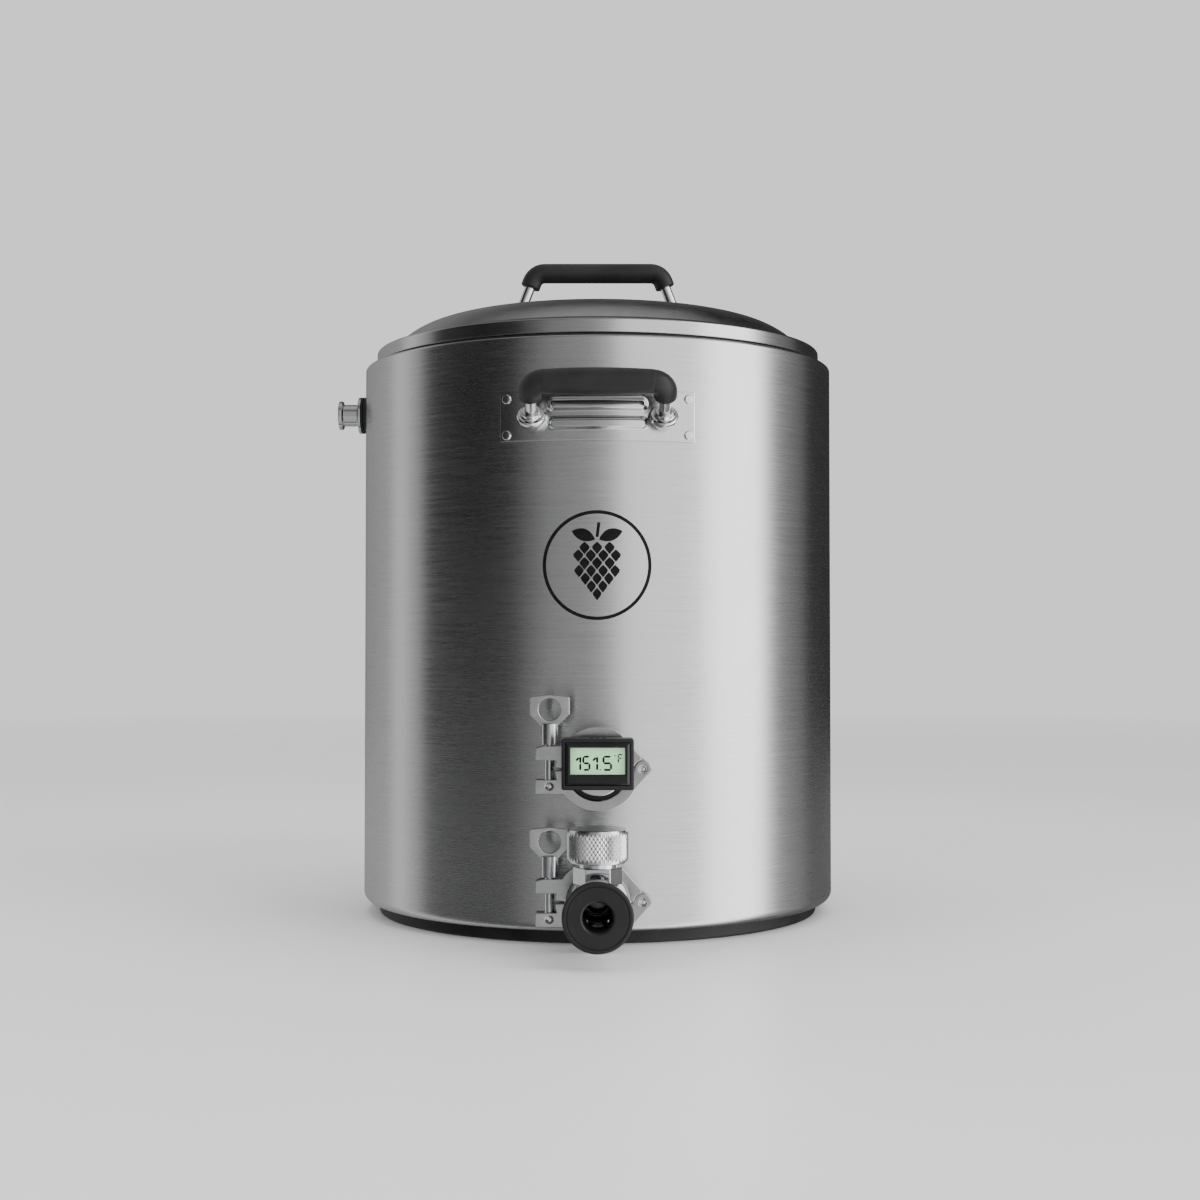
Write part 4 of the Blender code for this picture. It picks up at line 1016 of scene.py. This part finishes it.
def clamp_shapes():
    """Meshes of one clamp, centred on its ring with Z out; both clamps are copies of them."""
    deep, shallow, half = FLANGE_R + 0.3, 18.0, 4.1
    flare = (deep - shallow) * FLANGE_SLOPE
    groove = [(shallow, -half - flare), (deep, -half), (deep, half), (shallow, half + flare)]
    wide, fork, pin_hole = 7, 3.9, 2.95
    hinge_hole = circle(HINGE, pin_hole, 40)
    up = Matrix.Rotation(-pi / 2, 4, "X")

    def tool(outline, reach):
        return slab(outline, -reach, reach, 0.01, steps=1)

    upper = combined(
        slab(upper_outline(), -wide, wide, 0.55),
        ("UNION", slab(arc(HINGE, KNUCKLE_R, -120, 50, 24) + [(31.5, 10), (26, 7)], -3.5, 3.5, 0.3)),
        ("DIFFERENCE", lathe(groove, 144)),
        ("DIFFERENCE", tool(box_outline(-60, BOLT_PIVOT[0] + 4.1, 4, 19), fork)),
        ("DIFFERENCE", tool(hinge_hole, 9)))
    lower = combined(
        slab(lower_outline(), -wide, wide, 0.55, [hinge_hole, circle(BOLT_PIVOT, pin_hole, 40)]),
        ("DIFFERENCE", tool(box_outline(-60, BOLT_PIVOT[0] + 5.3, -21, -5), fork)),
        ("DIFFERENCE", tool(circle(HINGE, 6.8, 60), 3.8)),
        ("DIFFERENCE", lathe(groove, 144)))
    pin = turned([(0, -5.6), (1.3, -5.5), (2.4, -4.7), (2.4, 4.7), (1.3, 5.5), (0, 5.6)],
                 [0, 0.8, 0.4, 0.4, 0.8, 0], 5, 40)
    eye = slab(circle((0, 0), 5.0, 56), -3.4, 3.4, 0.5, [circle((0, 0), 2.6, 36)])
    shank = bar(3.6, 4.0, 43.8, 0.6, 56)
    shank.transform(up)
    bolt = combined(eye, ("UNION", shank))
    head = rounded([(-6.4, 31.4), (6.4, 31.4), (15, 40.5), (15, 53.6), (0, 55.2), (-15, 53.6), (-15, 40.5)],
                   [0.6, 0.6, 1.0, 1.4, 8.0, 1.4, 1.0], 5)
    wing = slab(head, -2.4, 2.4, 0.55, [circle((0, 44.2), 8.3, 72)])
    barrel = turned([(3.9, 17.8), (6.4, 17.8), (6.4, 34), (3.9, 34)], [0.3, 0.7, 0.8, 0.3], 4, 72)
    barrel.transform(up)
    nut = combined(wing, ("UNION", barrel))
    return {"upper_half": upper, "lower_half": lower, "pin": pin, "bolt": bolt, "nut": nut}


def make_clamps(look):
    shapes = clamp_shapes()
    for label, height in (("thermo", THERMO_Z), ("drain", DRAIN_Z)):
        base = port(height) @ shift(0, 0, CLAMP_MID)
        hinge, pivot = base @ shift(*HINGE, 0), base @ shift(*BOLT_PIVOT, 0)
        rows = (("upper_half", "upper_half", base, "kettle", "clamp"),
                ("lower_half", "lower_half", base, "kettle", "clamp"),
                ("hinge_pin", "pin", hinge, "kettle", "polished"),
                ("bolt_pin", "pin", pivot, "kettle", "polished"),
                ("swing_bolt", "bolt", pivot, label + "_bolt", "polished"),
                ("wing_nut", "nut", base @ shift(BOLT_PIVOT[0], 0, 0), label + "_nut", "clamp"))
        for name, shape, place, body, finish in rows:
            full = "{}_clamp_{}".format(label, name)
            piece(full + "_finished", shapes[shape].copy(), look[finish], full, body, place)
    for shape in shapes.values():
        shape.free()


def make_ferrules(look):
    face = CLAMP_MID - FLANGE_GAP
    edge = face - FLANGE_RIM
    # height of the axis, bore, wall, inner end and the seal's bore
    rows = (("thermo", THERMO_Z, 17.4, THERMO_TUBE_R, 182.0, 17.6),
            ("drain", DRAIN_Z, BORE_R, DRAIN_TUBE_R, 176.5, 11.4))
    for label, height, bore, wall, inner, seal_bore in rows:
        root = min(wall + 6.2, 21.0)
        rise = (FLANGE_R - root) * FLANGE_SLOPE
        outline = [(bore, inner), (wall, inner), (wall, edge - rise - 0.4), (root, edge - rise),
                   (FLANGE_R, edge), (FLANGE_R, face), (bore, face)]
        shape = turned(outline, [0.4, 0.4, 0.6, 0.3, 0.5, 0.5, 0.3])
        piece(label + "_ferrule_finished", shape, look["fitting"], label + "_ferrule", place=port(height))
        seal = turned(box_outline(seal_bore, FLANGE_R - 0.3, CLAMP_MID - 0.8, CLAMP_MID + 0.8), 0.4, 3)
        piece(label + "_flange_seal", seal, look["silicone"], label + "_gasket", place=port(height))


# ---------------------------------------------------------------- thermometer

def make_thermometer(look):
    frame = port(THERMO_Z)
    face = CLAMP_MID + FLANGE_GAP
    edge = face + FLANGE_RIM
    root = 22.5
    rise = (FLANGE_R - root) * FLANGE_SLOPE
    cap = [(0, 95), (3.2, 95.5), (4.75, 97), (4.75, face), (FLANGE_R, face), (FLANGE_R, edge),
           (root, edge + rise), (20, edge + rise), (20, 236), (3.6, 236), (3.6, 98), (0, 98)]
    shape = turned(cap, [0, 1.2, 1.2, 0.8, 0.5, 0.5, 0.4, 0.8, 0.9, 0.3, 0, 0])
    piece("thermowell", shape, look["polished"], "thermowell_cap", place=frame)
    # black ring on the flange's slope inside the clamp: a dark sheet that paints the shade of the gap round
    # the cap's hub
    ring = turned([(20.2, 231.9), (22.4, 231.9), (23.2, 232.0), (23.2, 233.0), (20.2, 233.0)],
                  [0.2, 0.2, 0.3, 0.5, 0.5], 3)
    piece("hub_shadow_ring", ring, look["rubber"], place=frame)
    piece("probe", bar(3.0, 99, 253.3, 0.8, 48), look["polished"], "temp_probe", place=frame)

    half, low, high = 26.2, -12.3, 24.7
    back, front = 250.0, 272.8
    probe_hole = 3.4
    body = slab(rounded(box_outline(-half, half, low, high), 1.6, 6), back, front, 1.1, steps=4)
    inner = rounded(box_outline(-23.7, 23.7, low + 3.2, high - 2.5), 0.8, 4)
    neck = turned(box_outline(probe_hole, 11, 236.3, 251), [0, 0.5, 0, 0], 4, 96)
    grooves = []
    for x in (-4.5, 0.0, 4.5):
        groove = slab(box_outline(x - 1.2, x + 1.2, high - 0.5, high + 2), 255, 268, 0.01, steps=1)
        grooves.append(("DIFFERENCE", groove))
    shape = combined(body, ("DIFFERENCE", slab(inner, 252.5, front + 3, 0.01, steps=1)), ("UNION", neck),
                     ("DIFFERENCE", cylinder(probe_hole, 230, 256, 48)), *grooves)
    piece("display_shroud", shape, look["plastic"], "display_holder", place=frame)
    make_case(look, frame)

    for name, source in (("lcd_panel", "lcd"), ("circuit_board", "board"), ("button_cell", "polished")):
        node_material(name, look[source])
    window = slab(rounded(box_outline(-19.4, 19.4, -0.6, 18.0), 0.4, 3), 272.2, 273.5, 0.15, steps=2)
    piece("display_pane", window, look["glass"], "display_window", place=frame)
    make_digits(look, frame)


def make_case(look, frame):
    """Display unit: a frame whose front falls away to its outer rim and into its window."""
    outer = box_outline(-23.3, 23.3, -8.7, 21.8)
    opening = box_outline(-19.7, 19.7, -0.9, 18.3)
    front = 274.2
    mesh = bmesh.new()
    # distance in from the outer rim or out from the opening, and height, from the back round to the pane
    rings = [(outer, 1.6, 257.5), (outer, 0.0, 257.5), (outer, 0.0, front - 1.5), (outer, 0.25, front - 1.1),
             (outer, 1.5, front - 0.15), (outer, 1.9, front), (opening, -1.15, front),
             (opening, -0.85, front - 0.1), (opening, -0.1, front - 0.9), (opening, 0.0, front - 1.2),
             (opening, 0.0, front - 2.0), (outer, 1.6, front - 2.0)]
    made = []
    for base, inset, level in rings:
        loop = rounded(offset(base, inset, True), 0.5 if base is outer else 0.35, 4)
        made.append([mesh.verts.new((x, y, level)) for x, y in loop])
    skin_between(mesh, made + made[:1])
    piece("display_unit", mesh, look["gloss_plastic"], "display_case", place=frame, sharp=25)


def make_digits(look, frame):
    """Seven-segment reading on the panel: bars a little proud of it."""
    mesh = bmesh.new()

    def bar_shape(x0, y0, x1, y1, width):
        start, end = Vector((x0, y0)), Vector((x1, y1))
        way = (end - start).normalized()
        side = Vector((-way.y, way.x)) * width / 2
        tip = way * width / 2
        loop = [start, start + tip - side, end - tip - side, end, end - tip + side, start + tip + side]
        low, high = ([mesh.verts.new((*point, level)) for point in loop] for level in (271.93, 272.03))
        mesh.faces.new(low[::-1])
        mesh.faces.new(high)
        skin_between(mesh, [low, high])

    def digit(left, width, low, high, thick, bars):
        middle = (low + high) / 2
        right = left + width
        gap = 0.12
        lines = {"a": (left, high, right, high), "g": (left, middle, right, middle),
                 "d": (left, low, right, low), "f": (left, middle, left, high),
                 "c": (right, low, right, middle)}
        for name in bars:
            x0, y0, x1, y1 = lines[name]
            way = (Vector((x1, y1)) - Vector((x0, y0))).normalized() * gap
            bar_shape(x0 + way.x, y0 + way.y, x1 - way.x, y1 - way.y, thick)

    low, high, thick = 2.4, 11.9, 1.5
    middle = (low + high) / 2
    for right in (-12.6, -0.4):
        bar_shape(right, middle + 0.1, right, high, thick)
        bar_shape(right, low - 0.3, right, middle - 0.1, thick)
        bar_shape(right - 3.2, high - 3.0, right - 0.8, high - 0.6, thick)
    digit(-10.4, 4.4, low, high, thick, "afgcd")
    digit(4.2, 5.4, low, high, thick, "afgcd")
    bar_shape(1.15, 2.4, 2.45, 2.4, 1.3)
    for ends in ((12.1, 13.2, 12.9, 13.2), (12.1, 12.2, 12.9, 12.2), (12.05, 12.2, 12.05, 13.2),
                 (12.95, 12.2, 12.95, 13.2)):
        bar_shape(*ends, 0.28)
    digit(14.9, 2.9, 8.2, 13.4, 0.95, "af")
    bar_shape(14.9, 7.6, 14.9, 10.7, 0.95)
    bar_shape(15.2, 10.8, 17.2, 10.8, 0.95)
    piece("display_digits", mesh, look["ink"], place=frame)


# ---------------------------------------------------------------- drain valve

def make_valve(look):
    frame = port(DRAIN_Z)
    upright = shift(0, -KNOB_AXIS, 0)
    into_row = frame.inverted() @ upright
    inlet, outlet = CLAMP_MID + FLANGE_GAP, OUTLET_FACE - 4.3
    # radius and height of one flange and half of the waist, from its face
    flange = [(0, 0), (FLANGE_R, 0), (FLANGE_R, FLANGE_RIM), (21, 4.5), (14, 6.1)]
    outline = [(radius, inlet + rise) for radius, rise in flange]
    outline += [(radius, outlet - rise) for radius, rise in flange[::-1]]
    body = turned(outline, [0, 0.5, 0.5, 0.5, 1.6, 1.6, 0.5, 0.5, 0.5, 0], 5)
    barrel = turned([(0, 21), (15.5, 21), (15.5, 56), (0, 56)], [0, 1.6, 0.6, 0], 5, 128)
    barrel.transform(into_row)
    chamber_r = 11.7
    chamber = cylinder(chamber_r, 26.2, 62, 90)
    chamber.transform(into_row)
    shape = combined(body, ("UNION", barrel), ("DIFFERENCE", cylinder(BORE_R, inlet - 5, outlet + 5)),
                     ("DIFFERENCE", chamber))
    piece("drain_valve_body", shape, look["valve"], "valve_body", place=frame)

    hexagon = slab(rounded(circle((0, 0), 18, 6), 0.8, 3), 56.3, 69, 0.9, [circle((0, 0), 11.9, 72)], 3)
    neck = turned(box_outline(4.3, 14.2, 68, 83), [0, 0, 0.8, 0.3], 4, 96)
    shape = combined(hexagon, ("UNION", neck), ("DIFFERENCE", cylinder(chamber_r, 50, 79.5, 80)))
    piece("drain_valve_bonnet", shape, look["mirror"], "valve_bonnet", place=upright)
    piece("knurled_knob", knob_mesh(), look["knob"], "valve_knob", "knob", upright)
    piece("knob_stem", bar(4.0, 52.5, 92.2, 0.4, 48), look["polished"], "valve_stem", "knob", upright)
    plug = turned([(0, 49.65), (11.3, 49.65), (11.3, 79.0), (4.3, 79.0), (4.3, 52.2), (0, 52.2)],
                  [0, 0.9, 0.6, 0.3, 0, 0], 4, 96)
    piece("valve_plug", plug, look["rubber"], "valve_plunger", "plunger", upright)

    back, face = OUTLET_FACE - 4.0, OUTLET_FACE
    liner = 283.0
    seal = [(10.3, liner), (10.95, liner), (10.95, back), (25.4, back), (25.4, face), (22.6, face),
            (22.5, face - 0.7), (21.7, face - 0.7), (21.6, face - 0.05), (12.2, face - 0.05),
            (10.9, face - 1.2), (10.3, face - 4.5)]
    shape = turned(seal, [0.2, 0.2, 0.3, 0.6, 1.6, 0.3, 0.15, 0.15, 0.3, 0.5, 0.5, 1.5], 5, 192)
    piece("outlet_face_seal", shape, look["outlet"], "outlet_seal", place=frame)

    path = rounded_path([(0, -224.5, DRAIN_Z), (0, 0, DRAIN_Z), (0, 0, 18.0)], 18.0, 20)
    tube = sweep(path, 10.75, (1, 0, 0), 0.3, 3.0, 56, 9.0)
    piece("drain_pickup", tube, look["tube"], "pickup_tube")


def knob_mesh():
    """Hollow knob with a raised diamond knurl round its side."""
    low, high = 72.2, 96.5
    peak, valley = 22.3, 21.6
    around, rows = 47, 5
    band_low, band_high = low + 0.7, high - 1.1
    count = 2 * around
    mesh = bmesh.new()

    def ring(radius, height):
        return ring_of(mesh, radius, height, count)

    lattice = [ring(valley, band_low + (band_high - band_low) * j / (2 * rows)) for j in range(2 * rows + 1)]
    for j in range(1, 2 * rows):
        for i in range((j + 1) % 2, count, 2):
            lattice[j][i].co.xy *= peak / valley
    for j in range(2 * rows + 1):
        for i in range(count):
            if (i + j) % 2 == 0:
                continue
            tip = lattice[j][i]
            left, right = lattice[j][i - 1], lattice[j][(i + 1) % count]
            above = lattice[j + 1][i] if j < 2 * rows else None
            below = lattice[j - 1][i] if j > 0 else None
            for a, b in ((right, above), (above, left), (left, below), (below, right)):
                if a and b:
                    mesh.faces.new((tip, a, b))
    top = ((valley - 0.05, high - 0.8), (valley - 0.25, high - 0.35), (valley - 0.7, high - 0.07),
           (valley - 1.2, high))
    cavity = ((valley - 0.1, low + 0.45), (valley - 0.4, low + 0.1), (valley - 0.8, low), (15.2, low),
              (14.8, low + 0.4), (14.8, 83.6), (4.3, 83.6), (4.3, 92.5))
    for start, outline in ((lattice[-1], top), (lattice[0], cavity)):
        rings = [start] + [ring(radius, height) for radius, height in outline]
        skin_between(mesh, rings)
        mesh.faces.new(rings[-1])
    return mesh


# ---------------------------------------------------------------- side port

def make_side_port(look):
    frame = side_port()
    pipe, bore, wide = 9.525, 7.9, 16.0
    collar, end = 208.0, 228.0
    outline = [(bore, 168), (pipe, 168), (pipe, collar), (wide, collar), (wide, collar + 2.6),
               (11.0, collar + 2.6), (pipe, collar + 3.4), (pipe, end - 4.5), (12.6, end - 3.2), (12.6, end),
               (bore, end)]
    shape = turned(outline, [0.3, 0.4, 0, 0.4, 0.9, 0.6, 1.0, 0.7, 0.5, 0.7, 0.5], 5, 128)
    piece("side_port_tube", shape, look["mirror"], "side_port_fitting", place=frame)
    # a point without a height lies on the shell
    profile = [(9.9, None), (wide, None), (wide, 205.2), (15.6, 205.6), (14.9, 205.75), (15.6, 205.95),
               (wide, 206.4), (wide, 207.3), (15.6, 207.7), (9.9, 207.7)]

    def section(angle):
        for reach, level in profile:
            x, y = turned_by((reach, 0.0), angle)
            yield x, y, level or sqrt((SHELL_R + 0.02) ** 2 - y ** 2)

    piece("side_port_seal", carried_round(128, section), look["rubber"], "side_port_gasket", place=frame)
    nut = slab(rounded(circle((0, 0), 15.5, 6), 0.7, 3), 174.5, 182.6, 0.8, [circle((0, 0), 9.8, 72)], 3)
    piece("side_port_lock_nut", nut, look["fitting"], "side_port_nut", place=frame)


# ---------------------------------------------------------------- assembly

def node_material(name, material):
    """Better material for a CAD node that stays."""
    node = frame["nodes"][name]
    node.data.materials.clear()
    node.data.materials.append(material)


def make_looks():
    return {
        "shell": brushed("steel_shell", 0.58, 0.27, 4.5),
        "pot": brushed("steel_pot", 0.62, 0.24, 5.0),
        "lid": brushed("steel_lid", 0.52, 0.22, 9.0, anisotropy=0.6),
        "plate": smooth_rise(brushed("steel_plate", 0.60, 0.20, 30.0, straight=True), 205.3, 206.2),
        "fitting": brushed("steel_fitting", 0.64, 0.22, axis=(0, 1, 0), fine=1.6, anisotropy=0.4),
        "weld": polished("steel_weld", 0.55, 0.30, 0.6, "brushed_steel"),
        "clamp": polished("steel_clamp", 0.54, 0.20, 0.35),
        "polished": polished("steel_polished", 0.72, 0.10),
        "mirror": polished("steel_mirror", 0.74, 0.07, 0.12),
        # valve body and pickup tube: steel with painted shade inside their bores
        "valve": bore_with_painted_shade(polished("steel_valve", 0.74, 0.07, 0.12), 11.8, DRAIN_Z),
        "tube": bore_with_painted_shade(polished("steel_tube", 0.70, 0.14), 9.3, DRAIN_Z),
        "knob": polished("steel_knob", 0.66, 0.18, 0.2),
        "rubber": moulded("black_rubber", "black_rubber", (0.008, 0.008, 0.009), (0.018, 0.018, 0.019),
                          0.55, 1400.0, 0.00003),
        "grip": moulded("grip_rubber", "black_rubber", (0.009, 0.009, 0.010), (0.017, 0.017, 0.018),
                        0.46, 1800.0, 0.00002, 0.05),
        "outlet": moulded("outlet_rubber", "black_rubber", (0.010, 0.010, 0.010), (0.018, 0.018, 0.018),
                          0.42, 1600.0, 0.00002),
        "plastic": moulded("black_plastic", "black_plastic", (0.008, 0.008, 0.009), (0.014, 0.014, 0.015),
                           0.42, 2600.0, 0.00002, 0.0, 0.4),
        "gloss_plastic": moulded("gloss_plastic", "black_plastic", (0.006, 0.006, 0.007),
                                 (0.010, 0.010, 0.011), 0.24, 2600.0, 0.00001, 0.0, 0.15),
        "silicone": moulded("white_silicone", "white_silicone", (0.70, 0.71, 0.70), (0.78, 0.79, 0.78),
                            0.45, 900.0, 0.00002),
        "foam": make_foam(),
        "lcd": make_lcd(),
        "glass": make_glass(),
        "board": make_board(),
        "ink": make_ink(),
    }


make_camera()
make_world()
make_floor()
add_light("key", (1.35, -1.25, 1.75), (0.0, 0.0, 0.25), (1.3, 1.3), 26.0)
add_light("fill", (-1.6, -0.9, 1.2), (0.0, 0.0, 0.25), (1.0, 1.4), 10.0, (0.93, 0.96, 1.0))
add_light("top", (0.0, 0.5, 2.3), (0.0, 0.0, 0.4), (1.8, 1.8), 18.0)
looks = make_looks()
make_vessel(looks)
make_emblem(looks)
make_false_bottom(looks)
make_lid(looks)
make_handle(looks, "front_handle", 0.0)
make_handle(looks, "rear_handle", pi)
make_ferrules(looks)
make_clamps(looks)
make_thermometer(looks)
make_valve(looks)
make_side_port(looks)
node_material("insulation_foam", looks["foam"])
